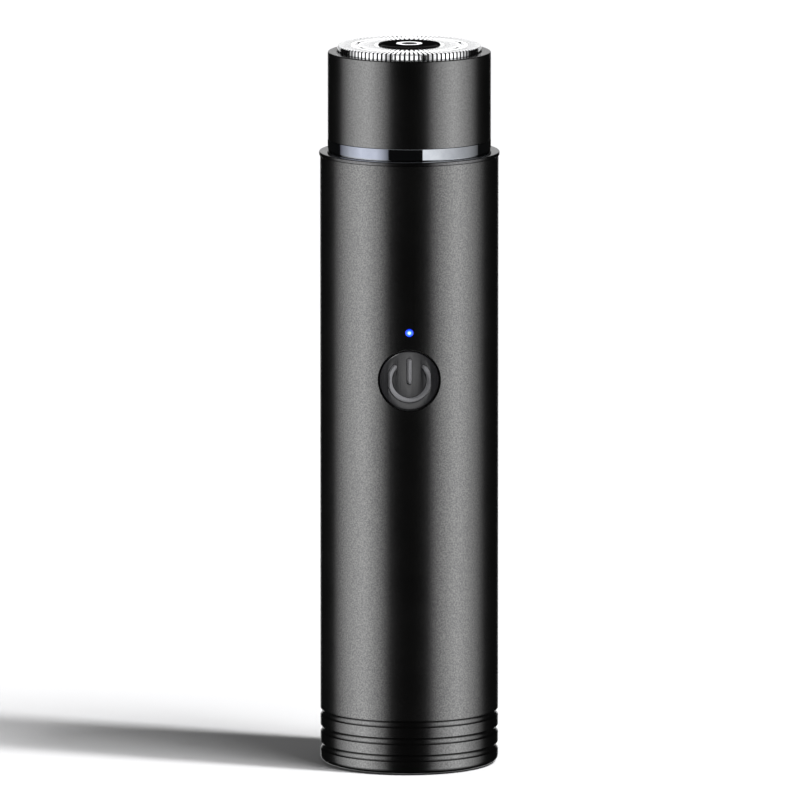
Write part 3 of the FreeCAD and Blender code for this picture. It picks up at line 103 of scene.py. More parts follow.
def turn(name, outline, steps=192, closed=True):
    """Turn (radius, height) corners about Z. An open outline ends on the axis, and its first ring is
    filled."""
    deselect()
    radius, height = outline[0]
    bpy.ops.mesh.primitive_circle_add(vertices=steps, radius=radius, location=(0, 0, height))
    piece = bpy.context.object
    piece.name = name
    bpy.ops.object.transform_apply(location=True, rotation=True, scale=True)
    bpy.ops.object.mode_set(mode="EDIT")
    bpy.ops.mesh.select_all(action="SELECT")
    path = outline[1:] + (outline[:1] if closed else [])
    for next_radius, next_height in path:
        bpy.ops.mesh.extrude_region_move(TRANSFORM_OT_translate={"value": (0, 0, next_height - height)})
        grow = max(next_radius, TINY) / radius
        bpy.ops.transform.resize(value=(grow, grow, 1), center_override=(0, 0, next_height))
        radius, height = max(next_radius, TINY), next_height
    bpy.ops.mesh.select_all(action="SELECT")
    bpy.ops.mesh.remove_doubles(threshold=1e-7)
    if not closed:
        bpy.ops.mesh.select_mode(type="EDGE")
        bpy.ops.mesh.select_all(action="DESELECT")
        bpy.ops.mesh.select_non_manifold()
        bpy.ops.mesh.edge_face_add()
    bpy.ops.mesh.select_all(action="SELECT")
    bpy.ops.mesh.normals_make_consistent(inside=False)
    bpy.ops.object.mode_set(mode="OBJECT")
    return piece

# %% [markdown]
# ## Rounding the edges
# No real edge is sharp, and a sharp one catches no light. A bevel on the edges above an angle rounds them,
# and the faces between are shaded smooth. Weighted normals keep large faces flat beside their small
# roundings.

# %% Helpers that round and shade
def soften(piece, width, segments=3, angle=35, clamp=True, weigh=True):
    """Round every edge sharper than the angle, and shade the faces between as smooth."""
    deselect()
    piece.select_set(True)
    bpy.context.view_layer.objects.active = piece
    bevel = piece.modifiers.new("edge", "BEVEL")
    bevel.width = width
    bevel.segments = segments
    bevel.limit_method = "ANGLE"
    bevel.angle_limit = math.radians(angle)
    bevel.use_clamp_overlap = clamp
    bpy.ops.object.modifier_apply(modifier=bevel.name)
    smooth(piece, weigh=weigh)


def smooth(piece, angle=38, weigh=True):
    """Shade smooth, if asked with large faces leading at each corner."""
    deselect()
    piece.select_set(True)
    bpy.context.view_layer.objects.active = piece
    bpy.ops.object.shade_smooth_by_angle(angle=math.radians(angle))
    if weigh:
        weighted = piece.modifiers.new("weigh", "WEIGHTED_NORMAL")
        weighted.keep_sharp = True
        bpy.ops.object.modifier_apply(modifier=weighted.name)
    print(piece.name, len(piece.data.polygons), "faces")

# %% [markdown]
# ## Holes and joins
# A hole could be made by deleting faces and filling the gap by hand. A boolean with a bar through the wall
# gives the same clean wall in one step, and the same helper joins pieces or keeps what two share.

# %% Helpers that cut
def cut(piece, cutter, operation="DIFFERENCE", keep=False):
    """Take the cutter's shape out of the piece, or join it or keep only what both share."""
    deselect()
    piece.select_set(True)
    bpy.context.view_layer.objects.active = piece
    boolean = piece.modifiers.new("cut", "BOOLEAN")
    boolean.operation = operation
    boolean.solver = "EXACT"
    boolean.object = cutter
    bpy.ops.object.modifier_apply(modifier=boolean.name)
    if not keep:
        bpy.data.objects.remove(cutter, do_unlink=True)


def front_bar(radius, height, steps=96):
    """A round bar along Y at a height, as long as the front half of the tube is deep."""
    deselect()
    bpy.ops.mesh.primitive_cylinder_add(vertices=steps, radius=radius, depth=TUBE_R * 1.2,
                                        location=(0, -TUBE_R * 0.85, height), rotation=(math.pi / 2, 0, 0))
    bpy.ops.object.transform_apply(location=True, rotation=True, scale=True)
    return bpy.context.object

# %% A helper for round stretches
def arc(middle_radius, middle_height, size, start, end, steps):
    """Corners along an arc in the outline's plane. Angle 0 points outwards and 90 points up."""
    corners = []
    for i in range(steps + 1):
        swing = math.radians(start + (end - start) * i / steps)
        corners.append((middle_radius + size * math.cos(swing), middle_height + size * math.sin(swing)))
    return corners

# %% [markdown]
# ## Joining the frame
# A new piece moves with one of the frame's bodies. It hides the engineer's node that it stands for.

# %% A helper that puts a piece in the frame
def place(piece, body, slot, *nodes):
    """Ride on the body and stand in for the nodes. The slot is not used."""
    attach(piece, body)
    if nodes:
        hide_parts(*nodes)

# %% [markdown]
# ## The handle's tube
# The real one is a drawn aluminium tube with a coat of satin metallic paint. Two round holes are drilled
# in its front, one for the button and one for the light. The holes are cut with bars, and then every sharp
# edge is rounded a little, because paint never leaves a perfectly sharp edge.

# %% Turn and drill the tube
BUTTON_Z = (low("power_button")[2] + high("power_button")[2]) / 2
LIGHT_Z = (low("led_lens")[2] + high("led_lens")[2]) / 2
BUTTON_HOLE = 4.88 * MM
LIGHT_HOLE = 0.65 * MM
FINE_STEPS = 256

tube = turn("handle_tube", [(TUBE_R, TUBE_LOW), (TUBE_R, TUBE_HIGH), (BORE_R, TUBE_HIGH), (BORE_R, TUBE_LOW)],
            FINE_STEPS)
cut(tube, front_bar(BUTTON_HOLE, BUTTON_Z))
cut(tube, front_bar(LIGHT_HOLE, LIGHT_Z, 32))
soften(tube, 0.08 * MM, 2, 50, clamp=False)
place(tube, "handle", "painted_body", "body_tube")

# %% [markdown]
# ## The grooved base
# The base cap was cast and turned, with three shallow grip grooves. Each groove is a shallow arc, so the
# outline dips in short steps and comes out again. The lowest edge has a larger round. Below, a ring-shaped
# trough takes the rubber foot, and a pocket with round ends leads the charging plug to its socket.

# %% Turn the base cap
GROOVES = 3
GROOVE_WIDE = 1.15 * MM
GROOVE_DEEP = 0.28 * MM
GROOVE_PITCH = 2.7 * MM
GROOVE_LAND = 0.03 * MM
FOOT_HIGH = high("foot_ring")[2]
FOOT_OUT = high("foot_ring")[0]
FOOT_IN = 6.9 * MM
FOOT_GAP = 0.1 * MM
BASE_LOW = low("base_cap")[2]
BASE_FLOOR = BASE_LOW + 1.9 * MM
BASE_SPIGOT = high("base_cap")[2]
SPIGOT_WALL = 1.4 * MM
PRESS_GAP = 0.05 * MM
EDGE_ROUND = 0.9 * MM

groove_arc = (GROOVE_WIDE ** 2 / 4 + GROOVE_DEEP ** 2) / (2 * GROOVE_DEEP)
groove_half = math.degrees(math.asin(GROOVE_WIDE / 2 / groove_arc))
outline = [(BORE_R - PRESS_GAP - SPIGOT_WALL, BASE_FLOOR), (BORE_R - PRESS_GAP - SPIGOT_WALL, BASE_SPIGOT),
           (BORE_R - PRESS_GAP, BASE_SPIGOT), (BORE_R - PRESS_GAP, TUBE_LOW), (TUBE_R, TUBE_LOW)]
for i in range(GROOVES):
    middle = TUBE_LOW - GROOVE_LAND - GROOVE_WIDE / 2 - i * GROOVE_PITCH
    outline += arc(TUBE_R + groove_arc - GROOVE_DEEP, middle, groove_arc,
                   180 - groove_half, 180 + groove_half, 8)
outline += arc(TUBE_R - EDGE_ROUND, BASE_LOW + EDGE_ROUND, EDGE_ROUND, 0, -90, 6)
outline += [(FOOT_OUT + FOOT_GAP, BASE_LOW), (FOOT_OUT + FOOT_GAP, FOOT_HIGH),
            (FOOT_IN - FOOT_GAP, FOOT_HIGH), (FOOT_IN - FOOT_GAP, BASE_LOW), (0, BASE_LOW)]
base = turn("grooved_base", outline, FINE_STEPS, closed=False)
print("base outline", len(outline), "corners")

# %% Cut the charging pocket
SOCKET_WIDE = 9.14 * MM
SOCKET_DEEP = 3.46 * MM
POCKET_WIDE = 12.8 * MM
POCKET_DEEP = 7.0 * MM
POCKET_SINK = 1.2 * MM
PAST = 1 * MM


def bar_with_round_ends(wide, deep, bottom, top, steps=48):
    """A bar along Z with a racetrack section: a round bar whose halves are moved apart."""
    deselect()
    bpy.ops.mesh.primitive_cylinder_add(vertices=steps, radius=deep / 2, depth=top - bottom,
                                        location=(0, 0, (top + bottom) / 2), rotation=(0, 0, math.pi / steps))
    bar = bpy.context.object
    bpy.ops.object.transform_apply(location=True, rotation=True, scale=True)
    for side in (1, -1):
        for vertex in bar.data.vertices:
            vertex.select = vertex.co.x * side > 0
        for edge in bar.data.edges:
            edge.select = all(bar.data.vertices[v].select for v in edge.vertices)
        for face in bar.data.polygons:
            face.select = False
        bpy.ops.object.mode_set(mode="EDIT")
        bpy.ops.transform.translate(value=(side * (wide - deep) / 2, 0, 0))
        bpy.ops.object.mode_set(mode="OBJECT")
    return bar


cut(base, bar_with_round_ends(POCKET_WIDE, POCKET_DEEP, BASE_LOW - PAST, BASE_LOW + POCKET_SINK))
cut(base, bar_with_round_ends(SOCKET_WIDE, SOCKET_DEEP, BASE_LOW - PAST, BASE_FLOOR + PAST))
soften(base, 0.06 * MM, 2, 38, clamp=False)
place(base, "handle", "base_paint", "base_cap")

# %% [markdown]
# The rubber foot is a flat ring. Its lower edges are well rounded, as on a moulded part.

# %% Turn the rubber foot
FOOT_ROUND = 0.3 * MM
foot = turn("rubber_foot", arc(FOOT_OUT - FOOT_ROUND, FOOT_ROUND, FOOT_ROUND, 0, -90, 4)
            + arc(FOOT_IN + FOOT_ROUND, FOOT_ROUND, FOOT_ROUND, -90, -180, 4)
            + [(FOOT_IN, FOOT_HIGH), (FOOT_OUT, FOOT_HIGH)], 192)
smooth(foot)
place(foot, "handle", "rubber_black", "foot_ring")

# %% [markdown]
# ## The collar and the polished neck
# A thin collar closes the tube's upper end and stands a little proud. Above it is the bright band of the
# neck, and above that the spigot that the head slips over. The spigot shows only while the head is off,
# with its seal groove, its deck, and the raised seat for the spindle's seal.

# %% Turn the collar
COLLAR_IN = BORE_R - 0.15 * MM
collar = turn("collar", [(COLLAR_R, TUBE_HIGH), (COLLAR_R, COLLAR_HIGH), (COLLAR_IN, COLLAR_HIGH),
                         (COLLAR_IN, TUBE_HIGH)], FINE_STEPS)
soften(collar, 0.14 * MM, 3, 50)
place(collar, "handle", "collar_metal", "collar_ring")

# %% Turn the neck
SKIRT_LOW = low("neck_housing")[2]
SKIRT_R = BORE_R - 0.2 * MM
SKIRT_IN = SKIRT_R - 1.2 * MM
MOUNT_HIGH = high("motor_mount")[2]
SPIGOT_R = HEAD_R - 0.95 * MM
RIM_HIGH = high("neck_housing")[2]
RIM_IN = SKIRT_R - 2.55 * MM
DECK_HIGH = RIM_HIGH - 1.8 * MM
DECK_LOW = DECK_HIGH - 1.2 * MM
SEAL_HALF = 0.5 * MM
HEAD_SEAL_Z = (low("head_seal")[2] + high("head_seal")[2]) / 2
HEAD_SEAL_IN = SPIGOT_R + 0.1 * MM - 0.9 * MM
SEAT_R = 5.0 * MM
SEAT_HIGH = DECK_HIGH + 1.4 * MM
SEAT_IN = 3.7 * MM
SEAT_LOW = DECK_HIGH - 0.2 * MM
SPINDLE_HOLE = 3.1 * MM

neck = turn("polished_neck", [
    (SKIRT_IN, SKIRT_LOW), (SKIRT_R, SKIRT_LOW), (SKIRT_R, COLLAR_HIGH), (BORE_R, COLLAR_HIGH),
    (BORE_R, BAND_HIGH), (SPIGOT_R, BAND_HIGH), (SPIGOT_R, HEAD_SEAL_Z - SEAL_HALF),
    (HEAD_SEAL_IN, HEAD_SEAL_Z - SEAL_HALF), (HEAD_SEAL_IN, HEAD_SEAL_Z + SEAL_HALF),
    (SPIGOT_R, HEAD_SEAL_Z + SEAL_HALF), (SPIGOT_R, RIM_HIGH), (RIM_IN, RIM_HIGH), (RIM_IN, DECK_HIGH),
    (SEAT_R, DECK_HIGH), (SEAT_R, SEAT_HIGH), (SEAT_IN, SEAT_HIGH), (SEAT_IN, SEAT_LOW),
    (SPINDLE_HOLE, SEAT_LOW), (SPINDLE_HOLE, DECK_LOW), (RIM_IN, DECK_LOW), (RIM_IN, MOUNT_HIGH),
    (SKIRT_IN, MOUNT_HIGH)], FINE_STEPS)
soften(neck, 0.07 * MM, 2, 50)
place(neck, "handle", "dark_chrome", "neck_housing")

# %% [markdown]
# ## The cutting head
# The head's barrel is moulded. Its upper edge is rounded, and a lip reaches in over the net's flange. Three
# lugs inside hold the retainer. One lug is spun from a small rectangle, and the other two are copies of it.

# %% Turn the head's barrel and add its lugs
HEAD_BORE = HEAD_R - 0.8 * MM
LIP_R = HEAD_R - 1.4 * MM
LIP_LOW = HEAD_HIGH - 0.8 * MM
HEAD_ROUND = 0.22 * MM
LUG_HIGH = low("cutter_retainer")[2] - 0.05 * MM
LUG_TALL = 0.95 * MM
LUG_IN = 11.55 * MM
LUG_SPAN = 36
LUG_BITE = 0.2 * MM

head = turn("head_barrel", [(HEAD_BORE, HEAD_LOW), (HEAD_R, HEAD_LOW)]
            + arc(HEAD_R - HEAD_ROUND, HEAD_HIGH - HEAD_ROUND, HEAD_ROUND, 0, 90, 6)
            + [(LIP_R, HEAD_HIGH), (LIP_R, LIP_LOW), (HEAD_BORE, LIP_LOW)], FINE_STEPS)


def lug(turned_by):
    """A block that follows the bore, spun from a rectangle that stands on the head's side."""
    deselect()
    middle_radius = (LUG_IN + HEAD_BORE + LUG_BITE) / 2
    bpy.ops.mesh.primitive_plane_add(size=1, location=(middle_radius, 0, LUG_HIGH - LUG_TALL / 2),
                                     rotation=(math.pi / 2, 0, 0))
    piece = bpy.context.object
    piece.scale = (HEAD_BORE + LUG_BITE - LUG_IN, LUG_TALL, 1)
    bpy.ops.object.transform_apply(location=True, rotation=True, scale=True)
    bpy.ops.object.mode_set(mode="EDIT")
    bpy.ops.mesh.select_all(action="SELECT")
    bpy.ops.mesh.spin(steps=12, angle=math.radians(LUG_SPAN), center=(0, 0, 0), axis=(0, 0, 1))
    bpy.ops.mesh.select_all(action="SELECT")
    bpy.ops.mesh.normals_make_consistent(inside=False)
    bpy.ops.object.mode_set(mode="OBJECT")
    middle = sum((v.co for v in piece.data.vertices), Vector()) / len(piece.data.vertices)
    piece.rotation_euler = (0, 0, math.radians(turned_by) - math.atan2(middle.y, middle.x))
    bpy.ops.object.transform_apply(location=False, rotation=True, scale=False)
    return piece


for i in range(3):
    cut(head, lug(90 + 120 * i), "UNION")
soften(head, 0.05 * MM, 2, 50, clamp=False)
place(head, "head", "head_plastic", "head_housing")

# %% [markdown]
# ## The shaving net
# The net is drawn from sheet steel, and its two tracks are slotted all round: 96 slots outside, which run
# over the rim and down its side, and 60 inside. The cup is turned, one slot of each track is modelled and
# copied round, and all the copies are cut out at once.

# %% Turn and slot the net
NET_R = LIP_R - 0.1 * MM
NET_SKIN = 0.35 * MM
NET_WALL = 0.4 * MM
NET_ROUND = 0.25 * MM
FLANGE_R = HEAD_BORE - 0.1 * MM
FLANGE_HIGH = LIP_LOW - 0.05 * MM
FLANGE_LOW = low("shaving_net")[2]
BADGE_R = high("net_badge")[0]
OUTER_TRACK = NET_R - 2.6 * MM
INNER_TRACK = OUTER_TRACK - 0.7 * MM
VALLEY = NET_HIGH - 0.25 * MM
CENTRE = NET_HIGH - 0.3 * MM
STEM_R = 1.5 * MM
SLOT_WIDE = 0.3 * MM
OUTER_SLOTS = 96
INNER_SLOTS = 60

net = turn("slotted_net", [
    (STEM_R, CENTRE), (BADGE_R + 0.05 * MM, CENTRE), (BADGE_R + 0.05 * MM, NET_HIGH - 0.05 * MM),
    (BADGE_R + 0.1 * MM, NET_HIGH), (INNER_TRACK, NET_HIGH), (INNER_TRACK + 0.15 * MM, VALLEY),
    (OUTER_TRACK - 0.15 * MM, VALLEY), (OUTER_TRACK, NET_HIGH)]
    + arc(NET_R - NET_ROUND, NET_HIGH - NET_ROUND, NET_ROUND, 90, 0, 4)
    + [(NET_R, FLANGE_HIGH), (FLANGE_R, FLANGE_HIGH), (FLANGE_R, FLANGE_LOW), (NET_R - NET_WALL, FLANGE_LOW),
       (NET_R - NET_WALL, NET_HIGH - NET_SKIN), (OUTER_TRACK + 0.1 * MM, NET_HIGH - NET_SKIN),
       (OUTER_TRACK - 0.1 * MM, VALLEY - NET_SKIN), (INNER_TRACK + 0.1 * MM, VALLEY - NET_SKIN),
       (INNER_TRACK - 0.1 * MM, NET_HIGH - NET_SKIN), (BADGE_R + 0.3 * MM, NET_HIGH - NET_SKIN),
       (BADGE_R + 0.1 * MM, CENTRE - NET_SKIN), (STEM_R, CENTRE - NET_SKIN)], 288)


def slots(inner, outer, low_z, high_z, number):
    """One slot's block, copied round the axis and joined."""
    deselect()
    bpy.ops.mesh.primitive_cube_add(size=1, location=((inner + outer) / 2, 0, (low_z + high_z) / 2))
    first = bpy.context.object
    first.scale = (outer - inner, SLOT_WIDE, high_z - low_z)
    bpy.ops.object.transform_apply(location=True, rotation=True, scale=True)
    copies = [first]
    for i in range(1, number):
        copy = first.copy()
        copy.data = first.data.copy()
        bpy.context.scene.collection.objects.link(copy)
        copy.rotation_euler = (0, 0, math.tau * i / number)
        copies.append(copy)
    deselect()
    for copy in copies:
        copy.select_set(True)
    bpy.context.view_layer.objects.active = first
    bpy.ops.object.transform_apply(location=False, rotation=True, scale=False)
    bpy.ops.object.join()
    return bpy.context.object


cut(net, slots(OUTER_TRACK + 0.45 * MM, NET_R + PAST, HEAD_HIGH - 0.1 * MM, NET_HIGH + PAST, OUTER_SLOTS))
cut(net, slots(BADGE_R + 0.55 * MM, INNER_TRACK - 0.35 * MM, CENTRE - PAST, NET_HIGH + PAST, INNER_SLOTS))
smooth(net, 32)
place(net, "foil", "net_steel", "shaving_net")

# %% [markdown]
# The badge is a black disc with a plain bright ring let into it. Its rim is rounded, so that it catches a
# thin line of light.

# %% Turn the badge
BADGE_HIGH = high("net_badge")[2]
BADGE_STEM_LOW = low("net_badge")[2]
RING_OUT = high("badge_emblem")[0]
RING_IN = 0.26 * BADGE_R
RING_SINK = 0.12 * MM
BADGE_ROUND = 0.25 * MM
BADGE_STEM = STEM_R - 0.02 * MM
badge = turn("black_badge", [(BADGE_STEM, BADGE_STEM_LOW), (BADGE_STEM, CENTRE), (BADGE_R, CENTRE)]
             + arc(BADGE_R - BADGE_ROUND, BADGE_HIGH - BADGE_ROUND, BADGE_ROUND, 0, 90, 5)
             + [(RING_OUT, BADGE_HIGH), (RING_OUT, BADGE_HIGH - RING_SINK), (RING_IN, BADGE_HIGH - RING_SINK),
                (RING_IN, BADGE_HIGH), (0, BADGE_HIGH)], 128, closed=False)
smooth(badge)
place(badge, "foil", "badge_black", "net_badge")
badge_ring = turn("bright_ring", [(RING_OUT, BADGE_HIGH - RING_SINK), (RING_OUT, BADGE_HIGH),
                                  (RING_IN, BADGE_HIGH), (RING_IN, BADGE_HIGH - RING_SINK)], 96)
soften(badge_ring, 0.03 * MM, 2, 50)
place(badge_ring, "foil", "bright_trim", "badge_emblem")

# %% [markdown]
# ## The button
# The button's face follows the tube, a little lower than it, and the power mark is moulded into the face
# and filled with a paler plastic. The cap is a piece of a turned shell that a round punch leaves. The mark
# is a ring that is spun from a square, an upright bar, and round ends.

# %% Make the power mark's cutter
MARK_R = 3.1 * MM
MARK_WIDE = 0.75 * MM
MARK_GAP = 48
MARK_SINK = 0.55 * MM
MARK_FILL = 0.2 * MM
FACE_R = TUBE_R - 0.2 * MM
BAR_LAP = 0.2 * MM


def pin(x, z, size=MARK_WIDE / 2):
    """A thin round bar along Y, through the front of the button."""
    bar = front_bar(size, BUTTON_Z + z, 32)
    bar.location.x = x
    deselect()
    bar.select_set(True)
    bpy.context.view_layer.objects.active = bar
    bpy.ops.object.transform_apply(location=True, rotation=False, scale=False)
    return bar


def mark():
    """The standby mark as one solid along Y: an open ring, and a bar in its gap."""
    deselect()
    bpy.ops.mesh.primitive_plane_add(size=1, location=(0, 0, -MARK_R), rotation=(0, math.pi / 2, 0))
    piece = bpy.context.object
    piece.scale = (MARK_WIDE, TUBE_R, 1)
    bpy.ops.object.transform_apply(location=True, rotation=True, scale=True)
    bpy.ops.object.mode_set(mode="EDIT")
    bpy.ops.mesh.select_all(action="SELECT")
    bpy.ops.mesh.spin(steps=88, angle=math.radians(360 - 2 * MARK_GAP), center=(0, 0, 0), axis=(0, 1, 0))
    bpy.ops.mesh.select_all(action="SELECT")
    bpy.ops.mesh.normals_make_consistent(inside=False)
    bpy.ops.object.mode_set(mode="OBJECT")
    middle = sum((v.co for v in piece.data.vertices), Vector()) / len(piece.data.vertices)
    piece.rotation_euler = (0, math.pi - math.atan2(middle.x, middle.z), 0)
    piece.location = (0, -TUBE_R, BUTTON_Z)
    bpy.ops.object.transform_apply(location=True, rotation=True, scale=True)
    end = math.radians(MARK_GAP)
    for side in (1, -1):
        cut(piece, pin(side * MARK_R * math.sin(end), MARK_R * math.cos(end)), "UNION")
    deselect()
    bpy.ops.mesh.primitive_cube_add(size=1, location=(0, -TUBE_R, BUTTON_Z + (MARK_R - BAR_LAP) / 2))
    bar = bpy.context.object
    bar.scale = (MARK_WIDE, TUBE_R, MARK_R + BAR_LAP)
    bpy.ops.object.transform_apply(location=True, rotation=True, scale=True)
    cut(bar, pin(0, MARK_R), "UNION")
    cut(bar, pin(0, -BAR_LAP), "UNION")
    cut(piece, bar, "UNION")
    return piece

# %% Punch the button and sink the mark
KEY_HALF = 6 * MM
KEY_FLANGE = 0.7 * MM
BUTTON_R = high("power_button")[0] - KEY_FLANGE


def shell(name, outer, inner, half_tall):
    """A turned band of the tube's kind, as tall as the button needs."""
    return turn(name, [(outer, BUTTON_Z - half_tall), (outer, BUTTON_Z + half_tall),
                       (inner, BUTTON_Z + half_tall), (inner, BUTTON_Z - half_tall)], FINE_STEPS)


button = shell("power_key", FACE_R, BORE_R - 0.9 * MM, KEY_HALF)
cut(button, front_bar(BUTTON_R, BUTTON_Z, 128), "INTERSECT")
power_mark = mark()
inside = shell("inside", FACE_R - MARK_SINK, 1 * MM, KEY_HALF + PAST)
cut(power_mark, inside)
cut(button, power_mark, keep=True)
soften(button, 0.1 * MM, 3, 50, clamp=False, weigh=False)
outside = shell("outside", FACE_R - MARK_SINK + MARK_FILL, FACE_R - MARK_SINK, KEY_HALF + PAST)
cut(power_mark, outside, "INTERSECT")
power_mark.name = "power_mark"
smooth(power_mark)
print("mark", [round(1000 * v, 2) for v in power_mark.dimensions])

# %% Add the key's flange and stem
FLANGE_OUT = BORE_R - 0.3 * MM
flange = shell("flange", FLANGE_OUT, FLANGE_OUT - KEY_FLANGE, KEY_HALF)
cut(flange, front_bar(BUTTON_R + KEY_FLANGE, BUTTON_Z), "INTERSECT")
STEM_FRONT = FLANGE_OUT - 0.2 * MM
STEM_BACK = -high("power_button")[1]
KEY_STEM_R = 1.3 * MM
deselect()
bpy.ops.mesh.primitive_cylinder_add(vertices=48, radius=KEY_STEM_R, depth=STEM_FRONT - STEM_BACK,
                                    location=(0, -(STEM_FRONT + STEM_BACK) / 2, BUTTON_Z),
                                    rotation=(math.pi / 2, 0, 0))
stem = bpy.context.object
bpy.ops.object.transform_apply(location=True, rotation=True, scale=True)
cut(button, flange, "UNION")
cut(button, stem, "UNION")
smooth(button, weigh=False)
place(button, "button", "button_plastic", "power_button")
place(power_mark, "button", "symbol_grey", "power_symbol")

# %% [markdown]
# ## The light
# A clear pin brings the light of a small diode to the tube's face. Its front is a low dome. It is turned
# upright as the others are, and then laid down to point at the front.

# %% Turn the light's pin
LENS_FRONT = -low("led_lens")[1]
LENS_BACK = -high("led_lens")[1]
LENS_R = high("led_lens")[0]
DOME = 0.15 * MM
PIN_R = LIGHT_HOLE - 0.03 * MM
FLANGE_FRONT = BORE_R - 0.1 * MM
FLANGE_BACK = BORE_R - 0.8 * MM
lens = turn("light_pin", [
    (PIN_R, LENS_BACK), (PIN_R, FLANGE_BACK), (LENS_R, FLANGE_BACK), (LENS_R, FLANGE_FRONT),
    (PIN_R, FLANGE_FRONT), (PIN_R, LENS_FRONT - DOME), (PIN_R * 0.9, LENS_FRONT - DOME * 0.55),
    (PIN_R * 0.6, LENS_FRONT - DOME * 0.17), (PIN_R * 0.3, LENS_FRONT - DOME * 0.03), (0, LENS_FRONT)],
    48, closed=False)
lens.rotation_euler = (math.pi / 2, 0, 0)
lens.location = (0, 0, LIGHT_Z)
deselect()
lens.select_set(True)
bpy.context.view_layer.objects.active = lens
bpy.ops.object.transform_apply(location=True, rotation=True, scale=True)
smooth(lens)
place(lens, "handle", "lens_clear", "led_lens")
print("lens from y", round(1000 * min(v.co.y for v in lens.data.vertices), 2))

# %% [markdown]
# ## Finishes
# Colours are given as the sRGB hex values that a painter would read off a colour card, and one function
# turns them to linear light. Every pattern is placed by Object coordinates, which are metres here, so a
# grain of 0.25 mm is a noise of scale 4000. One small function adds a node with its settings and links, as
# the node editor's Add menu does.

# %% Helpers for finishes
RAMP = "ShaderNodeValToRGB"


def hexa(code):
    """An sRGB hex colour as linear RGBA."""
    parts = [int(code[i:i + 2], 16) / 255 for i in (0, 2, 4)]
    return tuple(c / 12.92 if c <= 0.04045 else ((c + 0.055) / 1.055) ** 2.4 for c in parts) + (1.0,)


def add(tree, kind, values=None, links=None, stops=(), **settings):
    """Add a node with its settings, its socket values and its links. stops are (place, hex colour) pairs."""
    node = tree.nodes.new(kind)
    while len(stops) > 2 and len(node.color_ramp.elements) < len(stops):
        node.color_ramp.elements.new(0.5)
    for number, (place_on, code) in enumerate(stops):
        node.color_ramp.elements[number].position = place_on
        node.color_ramp.elements[number].color = hexa(code)
    for name, value in settings.items():
        setattr(node, name, value)
    for name, value in (values or {}).items():
        node.inputs[name].default_value = value
    for name, source in (links or {}).items():
        tree.links.new(source, node.inputs[name])
    return node


def start(name):
    """A new material with only its Object coordinates."""
    material = bpy.data.materials.new(name)
    material.use_nodes = True
    tree = material.node_tree
    tree.nodes.clear()
    place_node = add(tree, "ShaderNodeTexCoord")
    return material, tree, place_node.outputs["Object"]


def end(tree, shader):
    """Join the shader to the output."""
    add(tree, "ShaderNodeOutputMaterial", links={"Surface": shader.outputs[0]})

# %% [markdown]
# Most finishes differ only in their colours, grain, gloss and relief. One recipe serves them all: a noise at
# the grain's real size varies the colour between two tones, a wider noise varies the gloss as handling does,
# and the grain also gives a little relief.

# %% The general finish
HANDLING = 6.0


def finish(name, tones, grain, gloss, relief=0.0, metal=0.0, stretch=(1, 1, 1), detail=3.0, **sockets):
    """A surface of two tones with a grain in mm, a gloss range as roughness, and relief in mm."""
    material, tree, place_out = start(name)
    stretched = add(tree, "ShaderNodeMapping", {"Scale": stretch}, {"Vector": place_out})
    fine = add(tree, "ShaderNodeTexNoise", {"Scale": 1000 / grain, "Detail": detail, "Roughness": 0.6},
               {"Vector": stretched.outputs[0]})
    broad = add(tree, "ShaderNodeTexNoise", {"Scale": 1000 / HANDLING, "Detail": 2.0}, {"Vector": place_out})
    two_tones = [(0.36, tones[0]), (0.64, tones[1])]
    colour = add(tree, RAMP, links={0: fine.outputs["Fac"]}, stops=two_tones).outputs[0]
    spread = {"From Min": 0.3, "From Max": 0.7, "To Min": gloss[0], "To Max": gloss[1]}
    rough = add(tree, "ShaderNodeMapRange", spread, {"Value": broad.outputs["Fac"]})
    links = {"Base Color": colour, "Roughness": rough.outputs[0]}
    if relief:
        bump = add(tree, "ShaderNodeBump", {"Distance": relief * MM, "Strength": 1.0},
                   {"Height": fine.outputs["Fac"]})
        links["Normal"] = bump.outputs[0]
    values = {"Metallic": metal}
    values.update({key.replace("_", " "): value for key, value in sockets.items()})
    end(tree, add(tree, "ShaderNodeBsdfPrincipled", values, links))
    return material

# %% [markdown]
# ### The handle's coat
# Drawn aluminium with a sprayed satin metallic coat, neutral gunmetal grey. The flakes in it give a very
# fine sparkle, and the coat blurs what it mirrors into soft bands. The base has the same coat over turned
# metal, which is a little glossier. The head is moulded and coated to match, without the sparkle.

# %% Gunmetal coats
FLAKE = 0.2
coat_handle = finish("satin_gunmetal_coat", ("5c5c5d", "737372"), FLAKE, (0.235, 0.255), 0.0008, 1.0,
                     detail=1.0)
coat_base = finish("gloss_gunmetal_coat", ("5f5f5f", "717171"), FLAKE, (0.195, 0.215), 0.0005, 1.0,
                   detail=1.0)
coat_collar = finish("edge_gunmetal_coat", ("545455", "666667"), FLAKE, (0.20, 0.24), 0.0006, 1.0,
                     detail=1.0)
coat_head = finish("smooth_gunmetal_coat", ("616161", "6f6f6f"), FLAKE, (0.225, 0.245), 0.0005, 1.0,
                   detail=1.0)
print("coats:", coat_handle.name, coat_base.name, coat_collar.name, coat_head.name)

# %% [markdown]
# ### Plated and bare metals
# The neck's band is plated with black chrome: a clear, dark mirror. The net is stainless steel that was
# pressed, slotted and then polished round its axis, so its fine lines run in circles. For that the point's
# distance from the axis is taken first, and a noise is read along it.

# %% Polished metals
chrome_dark = finish("black_chrome_plating", ("b9bdc4", "c6cad0"), 4.0, (0.04, 0.07), 0.0, 1.0)
chrome_bright = finish("bright_chrome_plating", ("e2e4e8", "f2f3f5"), 3.0, (0.05, 0.10), 0.0, 1.0)


